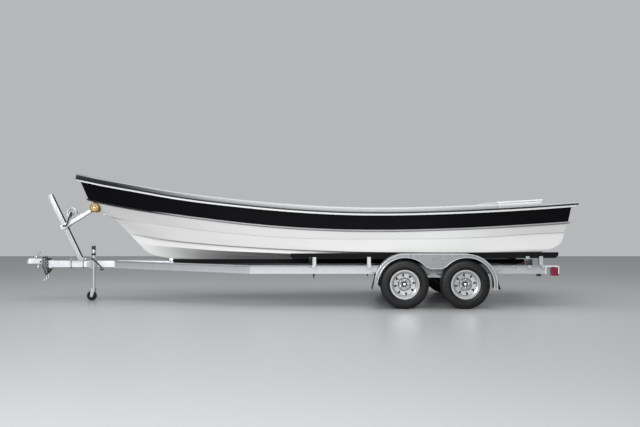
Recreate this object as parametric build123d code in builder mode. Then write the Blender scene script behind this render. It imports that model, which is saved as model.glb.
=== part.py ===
from build123d import *

import os
from math import cos, hypot, radians, sin

# Open 7.6 m fishing motorboat standing on its tandem-axle trailer. Millimetres, +Z up.
# The bow and the trailer's coupler point along -X, and the boat's port side is -Y. The
# origin is on the floor, under the middle of the whole object's length and width.

os.makedirs("parts", exist_ok=True)

# ---------------------------------------------------------------- driving dimensions

# Boat
overall_length = 8376
hull_length = 7594
half_beam = 970
moulded_depth = 775
keel_height = 610
stern_x = overall_length / 2
bow_x = stern_x - hull_length
stem_half_width = 12
shell_wall = 13
stem_wall = 55
transom_wall = 45
sole_height = 820
panel_thickness = 12
seam = 0.3
lining_gap = 0.7

# Trailer
frame_top = 612
rail_top = 594
rail_height = 115
rail_width = 70
rail_flange = 9
rail_web = 8
rail_outer_y = 880
tongue_size = 102
tube_wall = 5
crossmember_size = 76
tyre_radius = 344.5
tyre_width = 205
rim_radius = 190.5
track_half = 1030
axle_spacing = 861
axle_centre_x = 2088.5
fender_radius = 430
fender_outer_y = 1195
fender_sheet = 4

# ---------------------------------------------------------------- shared helpers


def save(piece, name):
    """Label a finished piece and write it as its own node."""
    piece.label = name
    export_step(piece, f"parts/{name}.step")


def save_pair(piece, name, sides=("left", "right")):
    """Write a starboard piece as it stands, and its mirror image to port."""
    save(mirror(piece, about=Plane.XZ), f"{name}_{sides[0]}")
    save(piece, f"{name}_{sides[1]}")


def save_both(piece, name):
    """Write a starboard piece and its mirror image together, as one node."""
    save(Compound([*piece.solids(), *mirror(piece, about=Plane.XZ).solids()]), name)


def block(x, y, z, mode=Mode.ADD):
    """Add a box to the part being built, given its low and high X, Y and Z."""
    middle = ((x[0] + x[1]) / 2, (y[0] + y[1]) / 2, (z[0] + z[1]) / 2)
    with Locations(middle):
        Box(x[1] - x[0], y[1] - y[0], z[1] - z[0], mode=mode)


def rod(start, end, radius, mode=Mode.ADD):
    """Add a round bar to the part being built, from one point to another."""
    line = Vector(*end) - Vector(*start)
    with BuildSketch(Plane(origin=start, z_dir=line.normalized())) as section:
        Circle(radius)
    extrude(section.sketch, amount=line.length, mode=mode)


def side_plate(points, y_low, y_high, mode=Mode.ADD):
    """Add a flat plate cut to an outline of (x, z) points, between two Y."""
    with BuildSketch(Plane.XZ.offset(-y_low)) as outline:
        with BuildLine():
            Polyline(*points, close=True)
        make_face()
    extrude(outline.sketch, amount=-(y_high - y_low), mode=mode)


# ---------------------------------------------------------------- hull lines
# Each line runs from the stem to beyond the transom. A point is its place along
# the hull, its half breadth and its height above the keel, as shares of
# hull_length, half_beam and moulded_depth. The first point is on the stem.

run_out = 1.03
SHEER = [(.005, 0, 1.68), (.018, .062, 1.655), (.05, .148, 1.59), (.12, .375, 1.47), (.22, .62, 1.30),
         (.35, .81, 1.14), (.5, .933, 1.015), (.65, .971, .982), (.8, .961, 1.029), (.92, .92, 1.09),
         (run_out, .86, 1.17)]
KNUCKLE = [(.0242, 0, 1.249), (.07, .155, 1.16), (.14, .38, 1.047), (.23, .583, .924), (.35, .763, .782),
           (.5, .894, .667), (.65, .932, .644), (.8, .922, .688), (.92, .88, .754), (run_out, .83, .829)]
LAP = [(.0665, 0, .9136), (.12, .165, .815), (.18, .335, .745), (.265, .525, .644), (.35, .665, .566),
       (.45, .785, .5), (.65, .868, .478), (.8, .858, .505), (.92, .8, .572), (run_out, .76, .61)]
CHINE = [(.1094, 0, .552), (.14, .083, .512), (.19, .227, .447), (.262, .4, .381), (.345, .552, .325),
         (.4255, .67, .286), (.5, .747, .255), (.65, .797, .227), (.8, .787, .222), (.92, .745, .232),
         (run_out, .7, .24)]
BILGE = [(.129, 0, .342), (.165, .085, .315), (.217, .215, .283), (.308, .42, .231), (.39, .56, .207),
         (.452, .645, .19), (.55, .71, .184), (.65, .737, .181), (.8, .73, .181), (.92, .69, .185),
         (run_out, .65, .19)]
KEEL = [(.1352, 0, .288), (.1465, 0, .188), (.1825, 0, .075), (.23, 0, .025), (.3, 0, .004), (.4, 0, 0),
        (.6, 0, 0), (.8, 0, 0), (run_out, 0, 0)]
lap_stem_step = (.0108, -.0466)
chine_flat = .055


def hull_x(share):
    return bow_x + share * hull_length


def hull_line(table, inward=0, up=0, aft=0):
    """Points of a line, moved inboard, up, and at the stem aft."""
    points = []
    for place, breadth, height in table:
        x = hull_x(place)
        y = stem_half_width + breadth * (half_beam - stem_half_width)
        z = keel_height + height * moulded_depth + up
        if not points:
            x += aft
        points.append(Vector(x, max(y - inward, stem_half_width / 2) if inward else y, z))
    return points


def other_side(points):
    return [Vector(point.X, -point.Y, point.Z) for point in points]


def hull_form(lines):
    """Closed solid between both sides' lines, listed from the top down to the keel."""
    port = [Edge.make_spline(other_side(line)) for line in lines]
    starboard = [Edge.make_spline(line) for line in lines]
    faces = [Face.make_surface_from_curves(port[end], starboard[end]) for end in (0, -1)]
    for side in (port, starboard):
        faces += [Face.make_surface_from_curves(upper, lower) for upper, lower in zip(side, side[1:])]
    heads = [line[0] for line in lines]
    for upper, lower in zip(heads, heads[1:]):
        faces.append(Face(Wire.make_polygon([upper, lower, *other_side([lower, upper])])))
    tails = [line[-1] for line in lines]
    faces.append(Face(Wire.make_polygon(tails + other_side(tails)[::-1])))
    return Solid(Shell(faces))




def lap_step(place):
    """Share of the breadth that the lap stands proud, least where the topsides are flattest."""
    return .006 + .036 * abs(place - .62)


lap_under = [(LAP[0][0] + lap_stem_step[0], 0, LAP[0][2] + lap_stem_step[1])]
lap_under += [(place, breadth * (1 - lap_step(place)), height - .004) for place, breadth, height in LAP[1:]]
chine_inner = [(place, max(breadth - chine_flat, breadth * .6), height + .004) for place, breadth, height in CHINE]


def inner_lines(gap):
    """Lines of the hull's inside, a gap inboard of the shell's inner face."""
    wall = shell_wall + gap
    return [hull_line(SHEER, wall, 60, stem_wall),
            hull_line(KNUCKLE, wall, 0, stem_wall),
            hull_line(lap_under, wall, 2, stem_wall),
            hull_line(CHINE, wall + 3, wall + 9, stem_wall),
            hull_line(BILGE, 4 + gap, wall + 43, stem_wall),
            hull_line(KEEL, stem_half_width / 2, 2.3 * wall, stem_wall)]


# The transom's profile, seen from the side: raked, with a rounded foot.
transom_top = (stern_x - 75, 1560)
transom_foot = (stern_x - 172, 1036)
transom_round = [(stern_x - 194, 943), (stern_x - 276, 866), (stern_x - 458, 792), (stern_x - 880, 640)]


def stern_profile(inset):
    """Side view of the hull's extent, drawn in from the transom by a wall."""
    front = bow_x - 300
    with BuildSketch(Plane.XZ) as profile:
        with BuildLine():
            top = (transom_top[0] - inset, transom_top[1])
            foot = (transom_foot[0] - inset, transom_foot[1])
            crown = (top[0] + (top[0] - foot[0]) * .8, top[1] + (top[1] - foot[1]) * .8)
            Line(crown, foot)
            swept = [(x - inset, z + inset * .6) for x, z in transom_round]
            Spline(foot, *swept, tangents=((-.16, -1), (-1, -.32)))
            Polyline(swept[-1], (swept[-1][0] - 900, 500), (front, 500), (front, crown[1]), crown)
        make_face()
    return profile.sketch


# ---------------------------------------------------------------- hull shell

hull_extent = stern_profile(0)
cavity_extent = stern_profile(transom_wall)
inside_extent = stern_profile(transom_wall + lining_gap)
full_width = 3 * half_beam

with BuildPart() as cavity:
    add(hull_form(inner_lines(0)))
    extrude(cavity_extent, amount=full_width / 2, both=True, mode=Mode.INTERSECT)

with BuildPart() as inside:
    add(hull_form(inner_lines(lining_gap)))
    extrude(inside_extent, amount=full_width / 2, both=True, mode=Mode.INTERSECT)

notch_half_width = 330
notch_floor = 1235
notch_front = stern_x - 300
notch = ((notch_front, stern_x), (-notch_half_width, notch_half_width), (notch_floor, 2000))

with BuildPart() as hull:
    add(hull_form([hull_line(line) for line in (KNUCKLE, LAP, lap_under, CHINE, chine_inner, BILGE, KEEL)]))
    extrude(hull_extent, amount=full_width / 2, both=True, mode=Mode.INTERSECT)
    add(cavity.part, mode=Mode.SUBTRACT)
    block(*notch, mode=Mode.SUBTRACT)
save(hull.part, "hull")

with BuildPart() as sheer_strake:
    add(hull_form([hull_line(SHEER), hull_line(KNUCKLE, up=seam)]))
    extrude(hull_extent, amount=full_width / 2, both=True, mode=Mode.INTERSECT)
    add(cavity.part, mode=Mode.SUBTRACT)
    block(*notch, mode=Mode.SUBTRACT)
save(sheer_strake.part, "sheer_strake")

# ---------------------------------------------------------------- gunwale and mouldings

sheer_edge = Edge.make_spline(hull_line(SHEER))
knuckle_edge = Edge.make_spline(hull_line(KNUCKLE))
trim_places = [.004, .015, .04, .08, .14, .22, .32, .44, .57, .7, .85, 1]


def alongside(edge, inward, up):
    """Points along a hull line, moved square to it in plan, from the centreplane aft."""
    points = []
    for place in trim_places:
        spot = edge.position_at(place)
        way = edge.tangent_at(place)
        level = hypot(way.X, way.Y)
        points.append(Vector(spot.X + inward * way.Y / level, spot.Y - inward * way.X / level, spot.Z + up))
    kept = [point for point in points if point.Y > 25]
    first, second = kept[0], kept[1]
    slope = (second - first) * (first.Y / (second.Y - first.Y))
    reach = min(slope.length, first.Y * 1.6) / slope.length
    nose = first - slope * reach
    return [Vector(nose.X, 0, nose.Z)] + kept


def trim_ring(edge, outline):
    """Closed strip round both sides of the boat, with a section of (inward, up) corners."""
    lines = [alongside(edge, inward, up) for inward, up in outline]
    sides = []
    for side in (lines, [other_side(line) for line in lines]):
        edges = [Edge.make_spline(line) for line in side]
        faces = [Face.make_surface_from_curves(a, b) for a, b in zip(edges, edges[1:] + edges[:1])]
        for end in (0, -1):
            faces.append(Face(Wire.make_polygon([line[end] for line in side])))
        sides.append(Solid(Shell(faces)))
    return sides


def trim(edge, outline, end_x):
    """A strip round the boat, cut off square at the stern and bedded on the hull."""
    with BuildPart() as ring:
        add(trim_ring(edge, outline))
        add(sheer_strake.part, mode=Mode.SUBTRACT)
        add(hull.part, mode=Mode.SUBTRACT)
        block((end_x, stern_x + 600), (-full_width, full_width), (0, 3000), Mode.SUBTRACT)
    return ring.part


cap_end_x = stern_x - 553
cap_crown = 66
cap_width = 118
cap_wall = 9
rail_proud = 27
rail_black = 24
rail_white = 29
cap_outline = [(-rail_proud + 5, seam), (-rail_proud + 2, 22), (-rail_proud + 8, 46), (-4, 61), (16, cap_crown),
               (cap_width, cap_crown - 8), (cap_width + 4, 20), (cap_width + 4 - cap_wall, 20),
               (cap_width - cap_wall, cap_crown - 8 - cap_wall), (18, cap_crown - cap_wall),
               (-rail_proud + 18 + cap_wall, 40), (-rail_proud + 5 + cap_wall, seam)]
save(trim(sheer_edge, cap_outline, cap_end_x), "gunwale_cap")
rub_outline = [(-seam, -rail_black), (-rail_proud, -rail_black + 3), (-rail_proud - 3, -rail_black / 2),
               (-rail_proud, 0), (-seam, 0)]
save(trim(sheer_edge, rub_outline, stern_x), "rub_rail")

bead_outline = [(-seam, -rail_black - rail_white), (-rail_proud + 6, -rail_black - rail_white + 4),
                (-rail_proud + 2, -rail_black - seam), (-seam, -rail_black - seam)]
save(trim(sheer_edge, bead_outline, stern_x - 40), "rub_rail_bead")
ledge_outline = [(-seam, -22), (-4, -20), (-17, -8), (-17, 4), (-seam, 8)]
save(trim(knuckle_edge, ledge_outline, stern_x - 108), "knuckle_moulding")
quarter_outline = [(-rail_proud + 5, seam), (-rail_proud + 8, 20), (cap_width, 20), (cap_width, 11),
                   (-rail_proud + 16, 11), (-rail_proud + 14, seam)]
with BuildPart() as quarter_gunwale:
    add(trim(sheer_edge, quarter_outline, stern_x))
    block((bow_x - 300, cap_end_x + 2), (-full_width, full_width), (0, 3000), Mode.SUBTRACT)
save(quarter_gunwale.part, "quarter_gunwale")

# ---------------------------------------------------------------- inside of the boat


def fitted(outline, y_low=-full_width, y_high=full_width):
    """A part of the boat's inside, as wide as the hull, with a side view of (x, z) points."""
    with BuildPart() as piece:
        side_plate(outline, y_low, y_high)
        add(inside.part, mode=Mode.INTERSECT)
    return piece.part


def rectangle(x, z):
    return [(x[0], z[0]), (x[1], z[0]), (x[1], z[1]), (x[0], z[1])]


locker_front = stern_x - 1124
locker_back = stern_x - 482
locker_half_width = 700
locker_shoulder = 1300
locker_top_front = 1500
locker_top_back = 1540
lid_thickness = 22
well_floor = 1190
foredeck_end = hull_x(.17)

sole_end = locker_back - 50
save(fitted(rectangle((hull_x(.2), sole_end), (sole_height - panel_thickness, sole_height))), "sole")

thwart_places = {"fore_thwart": .30, "middle_thwart": .47, "aft_thwart": .64}
thwart_depth = 330
thwart_height = {"fore_thwart": 1210, "middle_thwart": 1165, "aft_thwart": 1165}
for name, place in thwart_places.items():
    ends = (hull_x(place), hull_x(place) + thwart_depth)
    inner_ends = (ends[0] + panel_thickness, ends[1] - panel_thickness)
    top = thwart_height[name]
    seat = fitted(rectangle(ends, (sole_height + seam, top)))
    with BuildPart() as thwart:
        add(seat)
        block(inner_ends, (-full_width, full_width), (0, top - panel_thickness), Mode.SUBTRACT)
    save(thwart.part, name)

deck_outline = [(hull_x(.0), 1935), (hull_x(.05), 1845), (hull_x(.11), 1752), (foredeck_end, 1668),
                (foredeck_end, 1668 - panel_thickness), (hull_x(.11), 1752 - panel_thickness),
                (hull_x(.05), 1845 - panel_thickness), (hull_x(.0), 1935 - panel_thickness)]
bulkhead_outline = rectangle((foredeck_end, foredeck_end + panel_thickness), (700, 1668))
deck_sheet = fitted(deck_outline)
bulkhead = fitted(bulkhead_outline)
with BuildPart() as foredeck:
    add(deck_sheet)
    add(bulkhead)
save(foredeck.part, "foredeck")

locker_walls = [fitted(rectangle((x, x + panel_thickness), (sole_height + seam, locker_shoulder)))
                for x in (locker_front, locker_back - panel_thickness)]
with BuildPart() as stern_locker:
    add(locker_walls)
    outline = [(locker_front, locker_shoulder), (locker_back, locker_shoulder), (locker_back, locker_top_back),
               (locker_front, locker_top_front)]
    side_plate(outline, -locker_half_width, locker_half_width)
    block((locker_front + panel_thickness, locker_back - panel_thickness),
          (-locker_half_width + panel_thickness, locker_half_width - panel_thickness), (0, 2000), Mode.SUBTRACT)
save(stern_locker.part, "stern_locker")

with BuildPart() as stern_locker_lid:
    slope = (locker_top_back - locker_top_front) / (locker_back - locker_front)
    rim = seam
    outline = [(locker_front - 14, locker_top_front + rim - 14 * slope), (locker_back + 14, locker_top_back + rim + 14 * slope),
               (locker_back + 14, locker_top_back + lid_thickness), (locker_front - 14, locker_top_front + lid_thickness)]
    side_plate(outline, -locker_half_width - 14, locker_half_width + 14)
    fillet(stern_locker_lid.edges().filter_by(Axis.Y).group_by(Axis.Z)[-1], lid_thickness * .4)
save(stern_locker_lid.part, "stern_locker_lid")

save(fitted(rectangle((locker_back + seam, stern_x), (well_floor, well_floor + panel_thickness))), "motor_well")

stem_run = Vector(hull_x(LAP[0][0]) - hull_x(KNUCKLE[0][0]), 0, (LAP[0][2] - KNUCKLE[0][2]) * moulded_depth).normalized()
stem_out = Vector(stem_run.Z, 0, -stem_run.X)
knuckle_stem = Vector(hull_x(KNUCKLE[0][0]), 0, keel_height + KNUCKLE[0][2] * moulded_depth)
eye_bar = 6
eye_radius = 28
eye_spot = knuckle_stem + stem_run * 350
with BuildPart() as bow_eye:
    with BuildSketch(Plane(origin=eye_spot + stem_out * seam, x_dir=stem_run, z_dir=stem_out)):
        Rectangle(2 * eye_radius + 30, 2 * stem_half_width)
    extrude(amount=6 - seam)
    with BuildLine(Plane(origin=eye_spot + stem_out * 6, x_dir=stem_run, z_dir=(0, 1, 0))) as loop:
        CenterArc((0, 0), eye_radius, 0, 180)
    with BuildSketch(Plane(origin=loop.line @ 0, z_dir=loop.line % 0)):
        Circle(eye_bar)
    sweep(path=loop.line)
save(bow_eye.part, "bow_eye")

# ---------------------------------------------------------------- trailer frame

tongue_half = tongue_size / 2
tongue_front = -stern_x + 320
tongue_back = -1620
frame_bottom = rail_top - rail_height
rail_centre_y = rail_outer_y - rail_width / 2
rail_bend_x = -560
rail_back = stern_x - 480
leg_front = -2780
leg_front_top = 618

with BuildPart() as tongue:
    with BuildSketch(Plane.YZ.offset(tongue_front)):
        with Locations((0, frame_top - tongue_half)):
            RectangleRounded(tongue_size, tongue_size, 8)
            RectangleRounded(tongue_size - 2 * tube_wall, tongue_size - 2 * tube_wall, 4, mode=Mode.SUBTRACT)
    extrude(amount=tongue_back - tongue_front)
save(tongue.part, "tongue")

with BuildPart() as side_rail:
    with BuildLine() as rail_path:
        Polyline((rail_back, rail_centre_y, rail_top), (rail_bend_x, rail_centre_y, rail_top),
                 (leg_front, tongue_half + rail_width / 2 - 8, leg_front_top))
    with BuildSketch(Plane(origin=rail_path.line @ 0, x_dir=(0, 1, 0), z_dir=(-1, 0, 0))) as rail_section:
        for z in (-rail_flange / 2, -rail_height + rail_flange / 2):
            with Locations((0, -z)):
                Rectangle(rail_width, rail_flange)
        with Locations((0, rail_height / 2)):
            Rectangle(rail_web, rail_height - rail_flange)
    sweep(path=rail_path.line, transition=Transition.RIGHT)
    block((leg_front - 200, tongue_back + 400), (-tongue_half - 200, tongue_half), (0, 1000), Mode.SUBTRACT)
save_pair(side_rail.part, "side_rail")

crossmember_top = rail_top - rail_flange - seam
crossmember_places = [tongue_back + crossmember_size / 2 + seam, 300, 1150, 3450]
web_inner_y = rail_centre_y - rail_web / 2
leg_slope = (rail_centre_y - tongue_half - rail_width / 2 + 8) / (rail_bend_x - leg_front)
with BuildPart() as crossmembers:
    for x in crossmember_places:
        half_span = web_inner_y - seam
        if x < rail_bend_x:
            half_span -= (rail_bend_x - x + crossmember_size / 2) * leg_slope + 1
        with BuildSketch(Plane.XZ.offset(-half_span)) as tube:
            with Locations((x, crossmember_top - crossmember_size / 2)):
                RectangleRounded(crossmember_size, crossmember_size, 7)
                inner = crossmember_size - 2 * tube_wall
                RectangleRounded(inner, inner, 3, mode=Mode.SUBTRACT)
        extrude(tube.sketch, amount=2 * half_span)
save(crossmembers.part, "crossmembers")

# ---------------------------------------------------------------- bunks that carry the hull

bunk_width = 45
outer_bunk_y = 724
outer_bunk_tops = (766.5, 784.5)
outer_bunk_height = 84
outer_bunk_x = (18, stern_x - 255)
inner_bunk_y = 240
inner_bunk_top = 655.2
inner_bunk_x = (-1829, 3560)
bunk_bracket_places = (367, 1166, 3480, 3677)
bracket_width = 52
bracket_sheet = 8


def bunk(x, y, tops, height):
    """Carpeted board from one X to another, with its top's height at each end."""
    corner = 40
    slope = (tops[1] - tops[0]) / (x[1] - x[0])
    with BuildPart() as board:
        side_plate([(x[0], tops[0]), (x[1], tops[1]), (x[1], tops[1] - height + corner),
                    (x[1] - corner, tops[1] - height - corner * slope),
                    (x[0] + corner, tops[0] - height + corner * slope), (x[0], tops[0] - height + corner)],
                   y, y + bunk_width)
        fillet(board.edges().filter_by(lambda edge: abs(edge.tangent_at(.5).Y) < .5), 6)
    return board.part


def outer_bunk_foot(x):
    along = (x - outer_bunk_x[0]) / (outer_bunk_x[1] - outer_bunk_x[0])
    return outer_bunk_tops[0] + along * (outer_bunk_tops[1] - outer_bunk_tops[0]) - outer_bunk_height


save_both(bunk(outer_bunk_x, outer_bunk_y, outer_bunk_tops, outer_bunk_height), "outer_bunks")
save_both(bunk(inner_bunk_x, inner_bunk_y, (inner_bunk_top, inner_bunk_top), inner_bunk_top - crossmember_top),
          "inner_bunks")

bracket_lip = 4
clip_depth = 38
with BuildPart() as bunk_brackets:
    for x in bunk_bracket_places:
        ends = (x - bracket_width / 2, x + bracket_width / 2)
        foot = outer_bunk_foot(ends[0]) - seam
        inner_y = outer_bunk_y - bracket_lip
        outer_y = outer_bunk_y + bunk_width + seam
        block(ends, (inner_y, rail_outer_y), (rail_top, rail_top + bracket_sheet))
        block(ends, (inner_y, outer_y), (rail_top, foot))
        block(ends, (outer_y, outer_y + bracket_sheet), (rail_top, foot + outer_bunk_height / 3))
        block(ends, (rail_outer_y, rail_outer_y + bracket_sheet), (rail_top - clip_depth, rail_top + bracket_sheet))
save_both(bunk_brackets.part, "bunk_brackets")

# ---------------------------------------------------------------- axles and springs

axle_places = (axle_centre_x - axle_spacing / 2, axle_centre_x + axle_spacing / 2)
axle_radius = 30
spindle_radius = 18
axle_end_y = 940
spindle_end_y = 1072
spring_y = rail_centre_y
spring_width = 45
leaf_thickness = 8
spring_reach = 330
spring_eye_z = 440
spring_low_z = 400
eye_outer = 15
pin_radius = 7
running_gap = 0.3
seat_top = spring_low_z - 3 * leaf_thickness

for name, x in zip(("front_axle", "rear_axle"), axle_places):
    with BuildPart() as axle:
        rod((x, -axle_end_y, tyre_radius), (x, axle_end_y, tyre_radius), axle_radius)
        rod((x, -spindle_end_y, tyre_radius), (x, spindle_end_y, tyre_radius), spindle_radius)
        for side in (-1, 1):
            middle = side * spring_y
            block((x - 40, x + 40), (middle - 30, middle + 30), (tyre_radius, seat_top - seam))
            rod((x, side * (axle_end_y - 30), tyre_radius), (x, side * axle_end_y, tyre_radius), 62)
    save(axle.part, name)


def leaf(x, reach, rise, drop):
    """Side view of one curved leaf: half length, rise of its ends, and depth below the main leaf."""
    top = spring_low_z - drop
    with BuildSketch(Plane.XZ.offset(-spring_y - spring_width / 2)) as curve:
        with BuildLine():
            upper = ThreePointArc((x - reach, top + rise), (x, top), (x + reach, top + rise))
            lower = ThreePointArc((x - reach, top + rise - leaf_thickness), (x, top - leaf_thickness),
                                  (x + reach, top + rise - leaf_thickness))
            Line(upper @ 0, lower @ 0)
            Line(upper @ 1, lower @ 1)
        make_face()
    return curve.sketch


with BuildPart() as leaf_springs:
    for x in axle_places:
        rise = spring_eye_z - eye_outer + leaf_thickness - spring_low_z
        for share, drop in ((1, 0), (.72, 1), (.44, 2)):
            extrude(leaf(x, share * spring_reach, share ** 2 * rise, drop * leaf_thickness), amount=spring_width)
        for end in (-1, 1):
            eye = (x + end * spring_reach, spring_y - spring_width / 2, spring_eye_z)
            far = (eye[0], spring_y + spring_width / 2, spring_eye_z)
            rod(eye, far, eye_outer)
            rod(eye, far, pin_radius + running_gap, Mode.SUBTRACT)
save_both(leaf_springs.part, "leaf_springs")

cheek_gap = spring_width / 2 + seam
cheek = 6
outer_eyes = (axle_places[0] - spring_reach, axle_places[1] + spring_reach)
inner_eyes = (axle_places[0] + spring_reach, axle_places[1] - spring_reach)
pivot_z = 453
hanger_gap = cheek_gap + cheek + seam
with BuildPart() as spring_hangers:
    for x in outer_eyes:
        for side in (-1, 1):
            inner_face = spring_y + side * cheek_gap
            outer_face = inner_face + side * cheek
            side_plate([(x - 34, frame_bottom), (x + 34, frame_bottom), (x + 16, spring_eye_z - 18),
                        (x - 16, spring_eye_z - 18)], min(inner_face, outer_face), max(inner_face, outer_face))
        rod((x, spring_y - cheek_gap - cheek - 8, spring_eye_z), (x, spring_y + cheek_gap + cheek + 8, spring_eye_z),
            pin_radius)
    for side in (-1, 1):
        inner_face = spring_y + side * hanger_gap
        outer_face = inner_face + side * cheek
        side_plate([(axle_centre_x - 45, frame_bottom), (axle_centre_x + 45, frame_bottom),
                    (axle_centre_x + 20, pivot_z - 20), (axle_centre_x - 20, pivot_z - 20)],
                   min(inner_face, outer_face), max(inner_face, outer_face))
    rod((axle_centre_x, spring_y - hanger_gap - cheek - 8, pivot_z),
        (axle_centre_x, spring_y + hanger_gap + cheek + 8, pivot_z), 9)
save_both(spring_hangers.part, "spring_hangers")

with BuildPart() as equalizer:
    outline = [(inner_eyes[0] - 18, spring_eye_z - 18), (inner_eyes[0] - 18, spring_eye_z + 16),
               (axle_centre_x - 26, pivot_z + 18), (axle_centre_x + 26, pivot_z + 18),
               (inner_eyes[1] + 18, spring_eye_z + 16), (inner_eyes[1] + 18, spring_eye_z - 18),
               (axle_centre_x, pivot_z - 26)]
    for side in (-1, 1):
        inner_face = spring_y + side * cheek_gap
        outer_face = inner_face + side * cheek
        side_plate(outline, min(inner_face, outer_face), max(inner_face, outer_face))
    for x in inner_eyes:
        rod((x, spring_y - cheek_gap - cheek - 6, spring_eye_z), (x, spring_y + cheek_gap + cheek + 6, spring_eye_z),
            pin_radius)
    block((axle_centre_x - 26, axle_centre_x + 26), (spring_y - cheek_gap, spring_y + cheek_gap),
          (pivot_z - 20, pivot_z + 18))
    rod((axle_centre_x, spring_y - 60, pivot_z), (axle_centre_x, spring_y + 60, pivot_z), 9 + running_gap,
        Mode.SUBTRACT)
save_both(equalizer.part, "equalizers")


# ---------------------------------------------------------------- wheels

bead_half = 76
flange_radius = 208
rim_sheet = 4
disc_face_y = 6
window_count = 8
window_ring = 134
stud_ring = 57.15
stud_count = 5
hub_flange_radius = 76


def at_wheel(x, side):
    """Plane across a wheel's axle at its middle, facing outboard, with the first direction aft."""
    return Plane(origin=(x, side * track_half, tyre_radius), x_dir=(1, 0, 0), z_dir=(0, side, 0))


def tyre_part():
    """Hollow tyre about the Z axis, with its beads against the rim's flanges."""
    bead = bead_half - running_gap
    seat = rim_radius + running_gap
    with BuildPart() as tyre:
        with BuildSketch(Plane.XZ):
            with BuildLine():
                Polyline((seat, bead), (flange_radius + 3, bead))
                ThreePointArc((flange_radius + 3, bead), (262, tyre_width / 2), (322, 92))
                ThreePointArc((322, 92), (338, 85), (tyre_radius - 1, 70))
                ThreePointArc((tyre_radius - 1, 70), (tyre_radius, 0), (tyre_radius - 1, -70))
                ThreePointArc((tyre_radius - 1, -70), (338, -85), (322, -92))
                ThreePointArc((322, -92), (262, -tyre_width / 2), (flange_radius + 3, -bead))
                Polyline((flange_radius + 3, -bead), (seat, -bead), (seat, -bead + 14), (210, -bead + 12))
                ThreePointArc((210, -bead + 12), (262, -tyre_width / 2 + 12), (326, -76))
                Line((326, -76), (326, 76))
                ThreePointArc((326, 76), (262, tyre_width / 2 - 12), (210, bead - 12))
                Polyline((210, bead - 12), (seat, bead - 14), (seat, bead))
            make_face()
        revolve(axis=Axis.Z)
        with BuildSketch(Plane.XZ):
            for z in (-48, -16, 16, 48):
                with Locations((tyre_radius - 3, z)):
                    Rectangle(8, 7)
        revolve(axis=Axis.Z, mode=Mode.SUBTRACT)
    return tyre.part


def rim_part():
    """Pressed steel wheel about the Z axis: a dropped-centre rim, and a disc with windows."""
    barrel = [(flange_radius, bead_half + rim_sheet), (flange_radius - 6, bead_half + rim_sheet + 2),
              (rim_radius, bead_half), (rim_radius, 50), (166, 36), (166, -20), (rim_radius, -46),
              (rim_radius, -bead_half), (flange_radius, -bead_half), (flange_radius, -bead_half - rim_sheet),
              (rim_radius - rim_sheet, -bead_half - rim_sheet), (rim_radius - rim_sheet, -46),
              (166 - rim_sheet, -20), (166 - rim_sheet, 36), (rim_radius - rim_sheet, 50),
              (rim_radius - rim_sheet, bead_half + rim_sheet), (flange_radius, bead_half + rim_sheet)]
    barrel[1:3] = [(flange_radius, bead_half), (rim_radius, bead_half)]
    with BuildPart() as rim:
        with BuildSketch(Plane.XZ):
            with BuildLine():
                Polyline(*barrel[:-1], close=True)
            make_face()
        revolve(axis=Axis.Z)
        with BuildSketch(Plane.XZ):
            with BuildLine():
                Polyline((33, disc_face_y), (84, disc_face_y), (100, disc_face_y + 26), (150, disc_face_y + 30),
                         (163, disc_face_y + 22), (163, disc_face_y + 28), (151, disc_face_y + 36),
                         (97, disc_face_y + 32), (81, disc_face_y + 6), (33, disc_face_y + 6), close=True)
            make_face()
        revolve(axis=Axis.Z)
        with BuildSketch(Plane.XY.offset(disc_face_y + 10)) as windows:
            with PolarLocations(window_ring, window_count, start_angle=9):
                Triangle(a=50, b=44, C=90, rotation=135)
            fillet(windows.vertices(), 5)
        extrude(amount=60, mode=Mode.SUBTRACT)
        with BuildSketch(Plane.XY):
            with PolarLocations(stud_ring, stud_count):
                Circle(7)
        extrude(amount=60, mode=Mode.SUBTRACT)
    return rim.part


def hub_part():
    """Brake drum, bearing hub, wheel studs and dust cap about the Z axis."""
    bore = spindle_radius + running_gap
    inner_end = axle_end_y - track_half + 1
    cap_end = spindle_end_y - track_half + 16
    with BuildPart() as hub:
        with BuildSketch(Plane.XZ):
            with BuildLine():
                Polyline((bore, inner_end + 4), (130, inner_end + 4), (130, -24), (hub_flange_radius, -14),
                         (hub_flange_radius, disc_face_y - seam), (32, disc_face_y - seam), (31, 40), (26, 52),
                         (24, cap_end), (0, cap_end), (0, cap_end - 8), (bore, cap_end - 8), close=True)
            make_face()
        revolve(axis=Axis.Z)
        with BuildSketch(Plane.XY.offset(disc_face_y - 2)):
            with PolarLocations(stud_ring, stud_count):
                Circle(6)
        extrude(amount=30)
        with BuildSketch(Plane.XY.offset(disc_face_y + 6 + seam)):
            with PolarLocations(stud_ring, stud_count):
                RegularPolygon(10.5, 6)
        extrude(amount=16)
    return hub.part


for kind, shape in (("tyre", tyre_part()), ("rim", rim_part()), ("hub", hub_part())):
    for place, x in zip(("front", "rear"), axle_places):
        for side_name, side in (("left", -1), ("right", 1)):
            save(at_wheel(x, side).location * shape, f"{place}_{side_name}_{kind}")

# ---------------------------------------------------------------- fenders

fender_inner_y = 890
skirt_radius = 387
lip_radius = 412
fender_top = tyre_radius + fender_radius
fender_front_z = 378
fender_rear_z = 284
skirt_low = 573
tip_fillet = 180


def end_of_arc(x, radius, z, direction):
    """Where a circle about a wheel's centre crosses a height, ahead of it or behind it."""
    return (x + direction * (radius ** 2 - (z - tyre_radius) ** 2) ** .5, z)


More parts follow.
